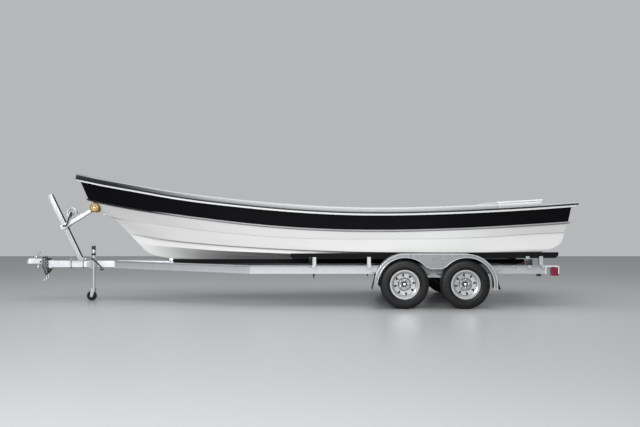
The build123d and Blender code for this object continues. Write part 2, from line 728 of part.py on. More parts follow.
def fender_outline(radius):
    """Side view of the space under a fender whose arcs have the given radius."""
    front, rear = axle_places
    top = tyre_radius + radius
    start = end_of_arc(front, radius, fender_front_z, -1)
    finish = end_of_arc(rear, radius, fender_rear_z, 1)
    with BuildSketch() as outline:
        with BuildLine():
            ThreePointArc(start, (front - radius * sin(radians(42)), tyre_radius + radius * cos(radians(42))),
                          (front, top))
            Line((front, top), (rear, top))
            ThreePointArc((rear, top), (rear + radius * sin(radians(45)), tyre_radius + radius * cos(radians(45))),
                          finish)
            Line(finish, start)
        make_face()
    return outline.sketch


def fender_sheet_between(opening_radius, low, fillet_radius):
    """Side wall of a fender, open round both wheels and cut level between them."""
    with BuildSketch() as wall:
        add(fender_outline(fender_radius))
        with Locations(*[(x, tyre_radius) for x in axle_places]):
            Circle(opening_radius, mode=Mode.SUBTRACT)
        with Locations((axle_centre_x, low - 250)):
            Rectangle(axle_spacing, 500, mode=Mode.SUBTRACT)
        if fillet_radius:
            fillet(wall.vertices().filter_by_position(Axis.Y, low - .1, low + .1), fillet_radius)
    return wall.sketch


with BuildPart() as fender:
    with BuildSketch(Plane.XZ.offset(-fender_inner_y)) as band:
        add(fender_sheet_between(fender_radius - fender_sheet, fender_top - fender_sheet, 0))
    extrude(band.sketch, amount=-(fender_outer_y - fender_inner_y))
    with BuildSketch(Plane.XZ.offset(-fender_outer_y)) as skirt:
        add(fender_sheet_between(skirt_radius, skirt_low, tip_fillet))
    extrude(skirt.sketch, amount=fender_sheet)
    with BuildSketch(Plane.XZ.offset(-fender_inner_y)) as lip:
        add(fender_sheet_between(lip_radius, fender_top - (fender_radius - lip_radius), 0))
    extrude(lip.sketch, amount=-fender_sheet)
save_pair(fender.part, "fender", ("left", "right"))

flap_sheet = 6
flap_low = 280
flap_y = (fender_inner_y + 12, fender_outer_y - 5)
with BuildPart() as mud_flaps:
    for axle, way, turn in ((axle_places[0], -1, 14), (axle_places[1], 1, 17)):
        reach = fender_radius + seam
        touch = (axle + way * reach * cos(radians(turn)), tyre_radius + reach * sin(radians(turn)))
        run = (way * sin(radians(turn)), -cos(radians(turn)))
        out = (way * cos(radians(turn)) * flap_sheet, sin(radians(turn)) * flap_sheet)
        ends = (-45, (touch[1] - flap_low) / cos(radians(turn)))
        inner = [(touch[0] + run[0] * end, touch[1] + run[1] * end) for end in ends]
        outer = [(x + out[0], z + out[1]) for x, z in inner]
        side_plate([inner[0], inner[1], outer[1], outer[0]], *flap_y)
save_both(mud_flaps.part, "mud_flaps")

bracket_y = (rail_outer_y + seam, fender_inner_y - seam)
with BuildPart() as fender_brackets:
    block((axle_centre_x - 28, axle_centre_x + 28), bracket_y, (frame_bottom + 12, fender_top - fender_sheet - seam))
    for x in ((1205, 1285), (2885, 2965)):
        block(x, (rail_centre_y + rail_web / 2 + seam, bracket_y[1]), (500, 508))
        block(x, (bracket_y[1] - 8, bracket_y[1]), (500, 540))
save_both(fender_brackets.part, "fender_brackets")

# ---------------------------------------------------------------- coupler

ball_x = -4120
ball_bore = 25.6
socket_low = 570
socket_top = 612
sleeve_back = tongue_front + 88
sleeve_front = tongue_front - 14
sleeve_wall = 6
sleeve_half = tongue_half + seam + sleeve_wall
neck_half = 34
neck_top = 640

with BuildPart() as coupler:
    with BuildSketch(Plane.XY.offset(frame_top - tongue_size - sleeve_wall - seam)) as plan:
        with BuildLine():
            Polyline((ball_x, neck_half + 4), (ball_x + 40, neck_half), (sleeve_front - 70, neck_half),
                     (sleeve_front, sleeve_half), (sleeve_back, sleeve_half), (sleeve_back, -sleeve_half),
                     (sleeve_front, -sleeve_half), (sleeve_front - 70, -neck_half), (ball_x + 40, -neck_half),
                     (ball_x, -neck_half - 4))
            ThreePointArc((ball_x, -neck_half - 4), (-overall_length / 2, 0), (ball_x, neck_half + 4))
        make_face()
    extrude(plan.sketch, amount=200)
    with BuildSketch(Plane.XZ.offset(-100)) as side:
        with BuildLine():
            Polyline((sleeve_back, frame_top - tongue_size - sleeve_wall - seam),
                     (sleeve_back, frame_top + sleeve_wall + seam), (sleeve_front, frame_top + sleeve_wall + seam),
                     (sleeve_front - 40, neck_top), (ball_x + 30, neck_top + 8), (ball_x - 22, neck_top + 8),
                     (-overall_length / 2, 596), (-overall_length / 2, socket_low), (sleeve_front - 60, socket_low),
                     (sleeve_front, frame_top - tongue_size - sleeve_wall - seam), close=True)
        make_face()
        fillet(side.vertices().group_by(Axis.X)[1:3], 14)
    extrude(side.sketch, amount=200, mode=Mode.INTERSECT)
    block((sleeve_front + sleeve_wall, sleeve_back), (-tongue_half - seam, tongue_half + seam),
          (frame_top - tongue_size - seam, frame_top + seam), Mode.SUBTRACT)
    block((ball_x + 46, sleeve_front - 12), (sleeve_wall - neck_half, neck_half - sleeve_wall),
          (socket_low - 60, neck_top - sleeve_wall), Mode.SUBTRACT)
    rod((ball_x, 0, socket_low), (ball_x, 0, socket_top), ball_bore, Mode.SUBTRACT)
save(coupler.part, "coupler")

latch_x = ball_x + 66
with BuildPart() as coupler_latch:
    for side in (-1, 1):
        side_plate([(latch_x - 22, neck_top + 8), (latch_x + 22, neck_top + 8), (latch_x + 12, neck_top + 44),
                    (latch_x - 12, neck_top + 44)], min(side * 14, side * 19), max(side * 14, side * 19))
    rod((latch_x, -24, neck_top + 32), (latch_x, 24, neck_top + 32), 5)
    side_plate([(latch_x - 10, neck_top + 22), (latch_x + 14, neck_top + 22), (latch_x + 74, neck_top + 94),
                (latch_x + 78, neck_top + 112), (latch_x + 60, neck_top + 116), (latch_x - 6, neck_top + 44)],
               -13.7, 13.7)
save(coupler_latch.part, "coupler_latch")

# ---------------------------------------------------------------- winch post and bow stop

post_foot = Vector(-3333, 0, 620)
post_head = Vector(-3827, 0, 1647)
post_size = 76
post_wall = 4
post_plate = 8
post_run = (post_head - post_foot).normalized()
post_aft = Vector(post_run.Z, 0, -post_run.X)

with BuildPart() as winch_post:
    with BuildSketch(Plane(origin=post_foot - post_run * 60, x_dir=(0, 1, 0), z_dir=post_run)) as tube:
        RectangleRounded(post_size, post_size, 8)
        RectangleRounded(post_size - 2 * post_wall, post_size - 2 * post_wall, 4, mode=Mode.SUBTRACT)
    extrude(tube.sketch, amount=(post_head - post_foot).length + 60)
    split(bisect_by=Plane.XY.offset(frame_top + post_plate), keep=Keep.TOP)
    block((-3500, -3262), (-66, 66), (frame_top, frame_top + post_plate))
    for x in (-3476, -3287):
        low = frame_top - tongue_size - 5 - seam
        for side in (-1, 1):
            rod((x, side * (tongue_half + 6), low), (x, side * (tongue_half + 6), frame_top + 24), 5)
        rod((x, -tongue_half - 11, low), (x, tongue_half + 11, low), 5)
save(winch_post.part, "winch_post")

arm_joint = post_foot + post_run * ((1155 - post_foot.Z) / post_run.Z)
roller_radius = 72
roller_waist = 26
roller_axle = knuckle_stem + stem_run * 172 + stem_out * (roller_waist + 7.1)
arm_length = (roller_axle - arm_joint).length
arm_run = (roller_axle - arm_joint).normalized()
arm_up = Vector(-arm_run.Z, 0, arm_run.X)
arm_outer_length = 345
arm_inner_length = arm_length - roller_radius - 17
arm_half_width = post_size / 2 + seam
roller_length = 100
roller_gap = 3
ear = 5


def along_arm(run, up, y=0):
    return arm_joint + arm_run * run + arm_up * up + Vector(0, y, 0)


def beside_post(aft, up):
    point = arm_joint + post_aft * aft + post_run * up
    return (point.X, point.Z)


with BuildPart() as bow_stop_arm:
    with BuildSketch(Plane(origin=along_arm(post_size / 2 + 5, 0), x_dir=(0, 1, 0), z_dir=arm_run)) as outer_tube:
        RectangleRounded(2 * arm_half_width, 64, 6)
    extrude(outer_tube.sketch, amount=arm_outer_length - post_size / 2 - 5)
    with BuildSketch(Plane(origin=along_arm(arm_outer_length, 0), x_dir=(0, 1, 0), z_dir=arm_run)) as inner_tube:
        RectangleRounded(2 * arm_half_width - 11, 53, 6)
    extrude(inner_tube.sketch, amount=arm_inner_length - arm_outer_length)
    with BuildSketch(Plane(origin=along_arm(arm_inner_length - 2, 0), x_dir=(0, 1, 0), z_dir=arm_run)) as yoke:
        Rectangle(roller_length + 2 * roller_gap + 2 * ear, 40)
    extrude(yoke.sketch, amount=8)
    for side in (-1, 1):
        inner_face = side * (roller_length / 2 + roller_gap)
        with BuildSketch(Plane(origin=(0, inner_face, 0), x_dir=(1, 0, 0), z_dir=(0, side, 0))) as fork:
            with BuildLine():
                corners = [along_arm(arm_inner_length - 2, -20), along_arm(arm_inner_length - 2, 20),
                           along_arm(arm_length, 20), along_arm(arm_length, -20)]
                points = [(p.X, -side * p.Z) for p in corners]
                Polyline(*points, close=True)
            make_face()
            with Locations((roller_axle.X, -side * roller_axle.Z)):
                Circle(22)
        extrude(fork.sketch, amount=ear)
        plate_y = side * arm_half_width
        side_plate([beside_post(-58, -36), beside_post(-58, 36), beside_post(38, 40), beside_post(110, 44),
                    beside_post(120, -14), beside_post(38, -40)], min(plate_y, plate_y + side * 6),
                   max(plate_y, plate_y + side * 6))
    for up in (-20, 20):
        near = beside_post(-post_size / 2 - 7, up)
        rod((near[0], -arm_half_width - 16, near[1]), (near[0], arm_half_width + 16, near[1]), 6)
    rod(roller_axle - Vector(0, roller_length / 2 + 18, 0), roller_axle + Vector(0, roller_length / 2 + 18, 0), 9)
save(bow_stop_arm.part, "bow_stop_arm")

with BuildPart() as bow_roller:
    with BuildSketch(Plane(origin=roller_axle, x_dir=(0, 1, 0), z_dir=(1, 0, 0))) as section:
        with BuildLine():
            Polyline((-12, roller_waist), (-45, roller_radius - 4), (-48, roller_radius), (-50, roller_radius - 2),
                     (-50, 9 + running_gap), (50, 9 + running_gap), (50, roller_radius - 2), (48, roller_radius),
                     (45, roller_radius - 4), (12, roller_waist), close=True)
        make_face()
    revolve(section.sketch, axis=Axis(roller_axle, (0, 1, 0)))
save(bow_roller.part, "bow_roller")

# ---------------------------------------------------------------- winch

reel_axle = along_arm(218, 120)
reel_pin = 9
with BuildPart() as winch_frame:
    for side in (-1, 1):
        corners = [along_arm(150, 32.3), along_arm(290, 32.3), along_arm(290, 52), along_arm(250, 120),
                   along_arm(236, 140), along_arm(200, 140), along_arm(186, 120), along_arm(150, 52)]
        side_plate([(p.X, p.Z) for p in corners], min(side * 34, side * 38), max(side * 34, side * 38))
    with BuildSketch(Plane(origin=along_arm(220, 32.3), x_dir=(0, 1, 0), z_dir=arm_up)) as base:
        Rectangle(76, 140)
    extrude(base.sketch, amount=5)
    rod(reel_axle - Vector(0, 60, 0), reel_axle + Vector(0, 60, 0), reel_pin + running_gap, Mode.SUBTRACT)
save(winch_frame.part, "winch_frame")

gear_radius = 78
crank_length = 222
crank_run = Vector(-.34, 0, -.94).normalized()
crank_side = Vector(crank_run.Z, 0, -crank_run.X)
with BuildPart() as winch_reel:
    rod(reel_axle - Vector(0, 84, 0), reel_axle + Vector(0, 44, 0), reel_pin)
    rod(reel_axle - Vector(0, 30, 0), reel_axle + Vector(0, 30, 0), 44)
    rod(reel_axle - Vector(0, 52, 0), reel_axle - Vector(0, 44, 0), gear_radius)
    rod(reel_axle - Vector(0, 60, 0), reel_axle - Vector(0, 52, 0), 30)
    end = reel_axle + crank_run * crank_length
    corners = [reel_axle + crank_side * 14 - crank_run * 14, reel_axle - crank_side * 14 - crank_run * 14,
               end - crank_side * 10 + crank_run * 10, end + crank_side * 10 + crank_run * 10]
    side_plate([(p.X, p.Z) for p in corners], -84, -76)
    rod(end - Vector(0, 95, 0), end - Vector(0, 84, 0), 7)
    rod(end - Vector(0, 190, 0), end - Vector(0, 95, 0), 15)
save(winch_reel.part, "winch_reel")

# ---------------------------------------------------------------- tongue jack

jack_pivot = (-3150, 561)
jack_x = -3098
jack_y = -116
jack_plate_radius = 62
jack_plate = 8
jack_outer_radius = 28.5
jack_bore = 24.5
leg_radius = 24.2
leg_bore = 20
jack_tube_z = (480, 790)
leg_z = (195, 585)
caster_radius = 76
caster_width = 44
caster_x = -3126
kingpin = 7
fork_top = 187
swing_gap = .7
tongue_side = -tongue_half - seam
swing_face = tongue_side - jack_plate - swing_gap

with BuildPart() as jack_mount:
    rod((jack_pivot[0], tongue_side, jack_pivot[1]), (jack_pivot[0], tongue_side - jack_plate, jack_pivot[1]),
        jack_plate_radius)
    rod((jack_pivot[0], tongue_side, jack_pivot[1]), (jack_pivot[0], swing_face - jack_plate, jack_pivot[1]), 12)
    for x in (jack_pivot[0] - 74, jack_pivot[0] + 74):
        low = frame_top - tongue_size - 4 - seam
        high = frame_top + 4 + seam
        rod((x, tongue_side - 4, low - 4), (x, tongue_side - 4, high + 4), 4)
        rod((x, tongue_half + 4.3, low - 4), (x, tongue_half + 4.3, high + 4), 4)
        rod((x, tongue_side - 8, low), (x, tongue_half + 8, low), 4)
        rod((x, tongue_side - 8, high), (x, tongue_half + 8, high), 4)
        block((min(x, jack_pivot[0]), max(x, jack_pivot[0])), (tongue_side - jack_plate, tongue_side), (541, 581))
save(jack_mount.part, "jack_mount")

with BuildPart() as jack_tube:
    rod((jack_pivot[0], swing_face, jack_pivot[1]), (jack_pivot[0], swing_face - jack_plate, jack_pivot[1]),
        jack_plate_radius)
    block((jack_x - 26, jack_x + 26), (jack_y, swing_face), (jack_pivot[1] - 36, jack_pivot[1] + 36))
    rod((jack_x, jack_y, jack_pivot[1] - 36), (jack_x, jack_y, jack_pivot[1] + 36), jack_outer_radius + 5)
    rod((jack_x, jack_y, jack_tube_z[0]), (jack_x, jack_y, jack_tube_z[1]), jack_outer_radius)
    rod((jack_x, jack_y, jack_tube_z[0]), (jack_x, jack_y, jack_tube_z[1]), jack_bore, Mode.SUBTRACT)
    rod((jack_pivot[0], 0, jack_pivot[1]), (jack_pivot[0], -75.5, jack_pivot[1]), 12 + running_gap, Mode.SUBTRACT)
save(jack_tube.part, "jack_tube")

crank_hub_z = 652
jack_crank_end = (-2930, 492)
with BuildPart() as jack_head:
    rod((jack_x, jack_y, jack_tube_z[1]), (jack_x, jack_y, jack_tube_z[1] + 62), jack_outer_radius + 2)
    fillet(jack_head.edges().group_by(Axis.Z)[-1], 12)
save(jack_head.part, "jack_cap")

with BuildPart() as jack_crank:
    hub_y = jack_y - jack_outer_radius - seam
    rod((jack_x, hub_y, crank_hub_z), (jack_x, hub_y - 22, crank_hub_z), 15)
    crank_y = hub_y - 22
    side_plate([(jack_x - 12, crank_hub_z + 4), (jack_x + 8, crank_hub_z + 14), (jack_crank_end[0] + 8,
               jack_crank_end[1] + 6), (jack_crank_end[0] - 7, jack_crank_end[1] - 8)], crank_y - 7, crank_y)
    rod((jack_crank_end[0], crank_y - 100, jack_crank_end[1]), (jack_crank_end[0], crank_y - 7, jack_crank_end[1]),
        14)
save(jack_crank.part, "jack_crank")

with BuildPart() as jack_leg:
    rod((jack_x, jack_y, leg_z[0]), (jack_x, jack_y, leg_z[1]), leg_radius)
    rod((jack_x, jack_y, leg_z[0] + 10), (jack_x, jack_y, leg_z[1]), leg_bore, Mode.SUBTRACT)
    rod((jack_x, jack_y, fork_top - 16), (jack_x, jack_y, leg_z[0]), kingpin)
save(jack_leg.part, "jack_leg")

fork_gap = 4
fork_plate = 5
fork_half = caster_width / 2 + fork_gap
fork_z = leg_z[0] - seam
with BuildPart() as jack_caster:
    block((jack_x - 32, jack_x + 30), (jack_y - fork_half - fork_plate, jack_y + fork_half + fork_plate),
          (fork_z - 8, fork_z))
    for side in (-1, 1):
        near = jack_y + side * fork_half
        far = near + side * fork_plate
        side_plate([(jack_x - 32, fork_z), (jack_x + 30, fork_z), (jack_x + 24, fork_z - 40),
                    (caster_x + 18, caster_radius - 16), (caster_x - 18, caster_radius - 16),
                    (caster_x - 18, caster_radius + 20)], min(near, far), max(near, far))
    rod((caster_x, jack_y - fork_half - fork_plate - 8, caster_radius),
        (caster_x, jack_y + fork_half + fork_plate + 8, caster_radius), 6)
    rod((jack_x, jack_y, fork_z - 20), (jack_x, jack_y, fork_z + 5), kingpin + running_gap, Mode.SUBTRACT)
save(jack_caster.part, "jack_caster")

with BuildPart() as jack_wheel:
    with BuildSketch(Plane(origin=(caster_x, jack_y, caster_radius), x_dir=(0, 1, 0), z_dir=(1, 0, 0))) as section:
        with BuildLine():
            half = caster_width / 2
            Polyline((-half, 6 + running_gap), (-half, 16), (-10, 20), (-10, 44), (-half, 50), (-half, 66),
                     (-half + 8, 74), (-8, caster_radius), (8, caster_radius), (half - 8, 74), (half, 66), (half, 50),
                     (10, 44), (10, 20), (half, 16), (half, 6 + running_gap), close=True)
        make_face()
    revolve(section.sketch, axis=Axis((caster_x, jack_y, caster_radius), (0, 1, 0)))
save(jack_wheel.part, "jack_wheel")

# ---------------------------------------------------------------- tail lamps

guard_x = (rail_back + seam, stern_x - 283)
guard_y = (790, 885)
guard_z = (477, 594)
lip_width = 14
guard_sheet = 5
lamp_x = (3800, 3875)
lamp_z = (452, 566)
with BuildPart() as lamp_guard:
    block(guard_x, guard_y, (guard_z[1] - guard_sheet, guard_z[1]))
    block((guard_x[0], guard_x[0] + guard_sheet), guard_y, guard_z)
    block((guard_x[1] - guard_sheet, guard_x[1]), guard_y, guard_z)
    block(guard_x, (guard_y[1] - guard_sheet, guard_y[1]), (guard_z[1] - lip_width, guard_z[1]))
    for x in (guard_x[0], guard_x[1] - lip_width):
        block((x, x + lip_width), (guard_y[1] - guard_sheet, guard_y[1]), guard_z)
    block((guard_x[1] - 9, guard_x[1] + 1), (guard_y[0] + 12, guard_y[1] - 18), (guard_z[0] - 1, lamp_z[1] + 1),
          Mode.SUBTRACT)
save_both(lamp_guard.part, "tail_lamp_guards")

with BuildPart() as tail_lamp:
    block(lamp_x, (guard_y[0] + 13, guard_y[1] + 8), lamp_z)
    block((lamp_x[1], guard_x[1] + 6), (guard_y[0] + 13, guard_y[1] - 19), lamp_z)
    block((lamp_x[0] + 20, lamp_x[1] - 20), (guard_y[0] + 30, guard_y[1] - 30),
          (lamp_z[1], guard_z[1] - guard_sheet - seam))
save_both(tail_lamp.part, "tail_lamps")
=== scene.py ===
import math

import bmesh
import bpy
from mathutils import Matrix, Vector


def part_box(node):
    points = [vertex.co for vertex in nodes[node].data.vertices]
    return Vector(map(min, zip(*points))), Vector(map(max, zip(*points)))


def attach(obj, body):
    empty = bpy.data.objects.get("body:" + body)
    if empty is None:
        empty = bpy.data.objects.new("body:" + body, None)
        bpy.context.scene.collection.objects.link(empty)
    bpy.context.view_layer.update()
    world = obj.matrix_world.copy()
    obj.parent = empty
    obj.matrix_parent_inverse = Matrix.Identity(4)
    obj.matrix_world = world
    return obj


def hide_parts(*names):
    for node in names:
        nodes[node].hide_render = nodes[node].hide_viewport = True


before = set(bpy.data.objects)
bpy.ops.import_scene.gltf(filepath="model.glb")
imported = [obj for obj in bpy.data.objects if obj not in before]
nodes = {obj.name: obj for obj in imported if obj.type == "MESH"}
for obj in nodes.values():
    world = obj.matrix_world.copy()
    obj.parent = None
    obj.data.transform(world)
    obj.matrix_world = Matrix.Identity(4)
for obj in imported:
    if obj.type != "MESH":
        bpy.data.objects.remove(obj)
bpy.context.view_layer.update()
sides = (("left", -1), ("right", 1))

# ==================== colours used in several places

gelcoat_white = (0.82, 0.82, 0.81, 1)
gelcoat_black = (0.0035, 0.0035, 0.004, 1)
flowcoat_grey = (0.5, 0.52, 0.52, 1)
flowcoat_fleck = (0.36, 0.38, 0.385, 1)
zinc_pale = (0.47, 0.485, 0.5, 1)
zinc_dark = (0.36, 0.38, 0.4, 1)
near_black = (0.012, 0.012, 0.013, 1)
jet = (0.008, 0.008, 0.009, 1)


def dimmed(colour, factor):
    """A colour with its brightness scaled, up to white."""
    return tuple(min(1, part * factor) for part in colour[:3]) + (1,)


# ==================== parts of a finish


def new_finish(name, colour, roughness, metallic=0.0):
    """A material with one shader, and the tree and shader to build on."""
    made = bpy.data.materials.new(name)
    made.use_nodes = True
    made.diffuse_color = colour
    shader = made.node_tree.nodes["Principled BSDF"]
    shader.inputs["Base Color"].default_value = colour
    shader.inputs["Roughness"].default_value = roughness
    shader.inputs["Metallic"].default_value = metallic
    return made, made.node_tree, shader


def feed(tree, socket, value):
    """Sets a socket to a constant, or links it to a pattern."""
    if isinstance(value, bpy.types.NodeSocket):
        tree.links.new(value, socket)
    else:
        socket.default_value = value


def coloured(tree, shader, colour):
    """Links a pattern to the finish's colour."""
    tree.links.new(colour, shader.inputs["Base Color"])


def lacquer(shader, weight, roughness):
    """Adds a clear coat."""
    shader.inputs["Coat Weight"].default_value = weight
    shader.inputs["Coat Roughness"].default_value = roughness


def on_piece(tree, scale=(1, 1, 1), shift=(0, 0, 0)):
    """The piece's own coordinates, in metres, stretched by a scale and then moved."""
    place = tree.nodes.new("ShaderNodeTexCoord")
    mapping = tree.nodes.new("ShaderNodeMapping")
    mapping.inputs["Scale"].default_value = scale
    mapping.inputs["Location"].default_value = shift
    tree.links.new(place.outputs["Object"], mapping.inputs["Vector"])
    return mapping.outputs["Vector"]


def part_of_place(tree, axis, source="Object"):
    """One of the piece's own coordinates, or with Normal one part of the way it faces."""
    place = tree.nodes.new("ShaderNodeTexCoord")
    axes = tree.nodes.new("ShaderNodeSeparateXYZ")
    tree.links.new(place.outputs[source], axes.inputs[0])
    return axes.outputs[axis]


def facing_up(tree):
    """One where a surface faces up, nought where it is upright and minus one where it faces down."""
    return part_of_place(tree, "Z", "Normal")


def mottle(tree, scale, detail=3, roughness=0.5, squeeze=(1, 1, 1), shift=(0, 0, 0)):
    """A soft noise pattern's value. A squeeze under one draws the pattern out along that axis."""
    noise = tree.nodes.new("ShaderNodeTexNoise")
    noise.inputs["Scale"].default_value = scale
    noise.inputs["Detail"].default_value = detail
    noise.inputs["Roughness"].default_value = roughness
    tree.links.new(on_piece(tree, squeeze, shift), noise.inputs["Vector"])
    return noise.outputs["Fac"]


def cells(tree, scale):
    """A pattern of irregular cells, as its node."""
    voronoi = tree.nodes.new("ShaderNodeTexVoronoi")
    voronoi.inputs["Scale"].default_value = scale
    tree.links.new(on_piece(tree), voronoi.inputs["Vector"])
    return voronoi


def spread(tree, value, low, high, to_low=0.0, to_high=1.0):
    """Stretches part of a pattern's range over a new range."""
    ramp = tree.nodes.new("ShaderNodeMapRange")
    ramp.inputs["From Min"].default_value = low
    ramp.inputs["From Max"].default_value = high
    ramp.inputs["To Min"].default_value = to_low
    ramp.inputs["To Max"].default_value = to_high
    tree.links.new(value, ramp.inputs["Value"])
    return ramp.outputs["Result"]


def worked(tree, operation, *values):
    """The result of one piece of arithmetic on constants and patterns."""
    node = tree.nodes.new("ShaderNodeMath")
    node.operation = operation
    for socket, value in zip(node.inputs, values):
        feed(tree, socket, value)
    return node.outputs[0]


def dotted(tree, first, second):
    """How far one vector goes along another."""
    node = tree.nodes.new("ShaderNodeVectorMath")
    node.operation = "DOT_PRODUCT"
    feed(tree, node.inputs[0], first)
    feed(tree, node.inputs[1], second)
    return node.outputs["Value"]


def between(tree, value, first, second):
    """A colour that goes from the first to the second with a value."""
    mix = tree.nodes.new("ShaderNodeMix")
    mix.data_type = "RGBA"
    feed(tree, mix.inputs["A"], first)
    feed(tree, mix.inputs["B"], second)
    tree.links.new(value, mix.inputs["Factor"])
    return mix.outputs["Result"]


def painted_corner_shade(tree, colour, reach, darkest):
    """Painted shade: darkens a colour where two surfaces meet, where the shadow in a lapped joint falls."""
    near = tree.nodes.new("ShaderNodeAmbientOcclusion")
    near.inputs["Distance"].default_value = reach
    near.samples = 8
    deepen = tree.nodes.new("ShaderNodeMix")
    deepen.data_type = "RGBA"
    deepen.blend_type = "MULTIPLY"
    deepen.inputs["Factor"].default_value = 1
    tree.links.new(colour, deepen.inputs["A"])
    tree.links.new(spread(tree, near.outputs["AO"], 0.25, 0.95, darkest, 1.0), deepen.inputs["B"])
    return deepen.outputs["Result"]


def emboss(tree, shader, height, strength, distance):
    """Turns a pattern into relief of the given depth, in metres."""
    bump = tree.nodes.new("ShaderNodeBump")
    bump.inputs["Strength"].default_value = strength
    bump.inputs["Distance"].default_value = distance
    tree.links.new(height, bump.inputs["Height"])
    tree.links.new(bump.outputs["Normal"], shader.inputs["Normal"])


def weathering(tree, low, high, most=1.0):
    """Long faint streaks of wear on a moulded part."""
    return spread(tree, mottle(tree, 5, 4, squeeze=(0.5, 1, 1)), low, high, 0, most)


def dress(names, finish):
    """Gives CAD nodes a finish."""
    for name in names:
        nodes[name].data.materials.clear()
        nodes[name].data.materials.append(finish)


# ==================== parts of a mesh


def middle_of(box):
    """The middle of a box that is given by its two ends."""
    return tuple((low + high) / 2 for low, high in zip(*box))


def made_object(name, mesh):
    """Turns a mesh that is being built into an object of the scene, at the origin."""
    data = bpy.data.meshes.new(name)
    mesh.to_mesh(data)
    mesh.free()
    made = bpy.data.objects.new(name, data)
    bpy.context.scene.collection.objects.link(made)
    return made


def made_piece(name, mesh, body, finish, sharp=35):
    """Makes a finished mesh into a piece that moves with a body."""
    bmesh.ops.recalc_face_normals(mesh, faces=mesh.faces)
    for face in mesh.faces:
        face.smooth = True
    piece = made_object(name, mesh)
    piece.data.set_sharp_from_angle(angle=math.radians(sharp))
    piece.data.materials.append(finish)
    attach(piece, body)
    return piece


def edges_of(verts):
    """The edges that end at any of these points, each once and in a steady order."""
    return list(dict.fromkeys(edge for vert in verts for edge in vert.link_edges))


def turned(mesh, profile, centre, axis, steps=48, closed=True):
    """Spins a line of (radius, place along the axis) pairs right round an axis."""
    axis = Vector(axis).normalized()
    side = Vector((0, 0, 1)) if abs(axis.z) < 0.9 else Vector((1, 0, 0))
    side = (side - axis * side.dot(axis)).normalized()
    corners = [mesh.verts.new(Vector(centre) + side * radius + axis * along) for radius, along in profile]
    edges = [mesh.edges.new(pair) for pair in zip(corners, corners[1:])]
    if closed:
        edges.append(mesh.edges.new((corners[-1], corners[0])))
    bmesh.ops.spin(mesh, geom=corners + edges, cent=centre, axis=axis, dvec=(0, 0, 0),
                   angle=2 * math.pi, steps=steps, use_merge=True, use_duplicate=False)
    bmesh.ops.remove_doubles(mesh, verts=mesh.verts, dist=2e-6)


def rod_along(mesh, points, radius, sides=12, closed=False):
    """A round bar bent along a line of points."""
    points = [Vector(point) for point in points]
    count = len(points)
    if closed:
        runs = [(points[(i + 1) % count] - points[i - 1]).normalized() for i in range(count)]
        points.append(points[0])
        runs.append(runs[0])
    else:
        runs = [(points[min(i + 1, count - 1)] - points[max(i - 1, 0)]).normalized() for i in range(count)]
    start = Matrix.Translation(points[0]) @ runs[0].to_track_quat("Z", "Y").to_matrix().to_4x4()
    first = edges_of(bmesh.ops.create_circle(mesh, segments=sides, radius=radius, matrix=start)["verts"])
    edges = first
    for i in range(1, len(points)):
        grown = bmesh.ops.extrude_edge_only(mesh, edges=edges)["geom"]
        new_verts = [part for part in grown if isinstance(part, bmesh.types.BMVert)]
        edges = [part for part in grown if isinstance(part, bmesh.types.BMEdge)
                 and all(vert in new_verts for vert in part.verts)]
        turn = runs[i - 1].rotation_difference(runs[i]).to_matrix().to_4x4()
        move = Matrix.Translation(points[i]) @ turn @ Matrix.Translation(-points[i - 1])
        bmesh.ops.transform(mesh, matrix=move, verts=new_verts)
    if closed:
        bmesh.ops.remove_doubles(mesh, verts=mesh.verts, dist=radius * 0.3)
    else:
        bmesh.ops.contextual_create(mesh, geom=first)
        bmesh.ops.contextual_create(mesh, geom=edges)


def rounded_block(mesh, low, high, side):
    """A small block between two corners, with rounded edges, on the given side of the boat."""
    middle = [(a + b) / 2 for a, b in zip(low, high)]
    sizes = [b - a for a, b in zip(low, high)]
    placed = Matrix.Translation((middle[0], side * middle[1], middle[2])) @ Matrix.Diagonal((*sizes, 1))
    block = bmesh.ops.create_cube(mesh, size=1, matrix=placed)["verts"]
    bmesh.ops.bevel(mesh, geom=edges_of(block), offset=min(sizes) * 0.22, offset_type="OFFSET", segments=3,
                    profile=0.5, affect="EDGES", material=-1)


# ==================== room and light
# The boat stands in a plain pale room. One wide lamp hangs over it like a ceiling panel, and
# a second stands on the near side, so the gelcoat shows long soft reflections.

room_grey = (0.5, 0.51, 0.515, 1)
wall_shown = (0.47, 0.475, 0.48, 1)
floor_grey = (0.32, 0.324, 0.328, 1)
floor_bounce = (0.07, 0.07, 0.071, 1)
sky_tint = (0.94, 0.97, 1, 1)
camera_place = (0.8145, -10.565, 1.285)

camera_data = bpy.data.cameras.new("camera")
camera_data.lens = 37.74
camera_data.sensor_width = 36
camera_data.shift_x = -0.039
camera_data.shift_y = 0.007
camera_data.clip_end = 200
camera = bpy.data.objects.new("camera", camera_data)
camera.location = camera_place
camera.rotation_euler = (math.pi / 2, 0, 0)
bpy.context.scene.collection.objects.link(camera)
bpy.context.scene.camera = camera
bpy.context.scene.view_settings.view_transform = "Standard"


def flat_stage(name, width, depth, place, tilt, finish):
    """A plain rectangle of the room."""
    mesh = bmesh.new()
    bmesh.ops.create_grid(mesh, x_segments=1, y_segments=1, size=0.5)
    size = Matrix.Diagonal((width, depth, 1, 1))
    placed = Matrix.Translation(place) @ Matrix.Rotation(tilt, 4, "X") @ size
    bmesh.ops.transform(mesh, matrix=placed, verts=mesh.verts)
    piece = made_object(name, mesh)
    piece.data.materials.append(finish)


def floor_finish(name):
    """Pale paint that throws back only part of its light, so the boat's underside stays in shade."""
    made, tree, shader = new_finish(name, floor_grey, 0.34)
    shader.inputs["Specular IOR Level"].default_value = 0.22
    path = tree.nodes.new("ShaderNodeLightPath")
    coloured(tree, shader, between(tree, path.outputs["Is Diffuse Ray"], floor_grey, floor_bounce))
    return made


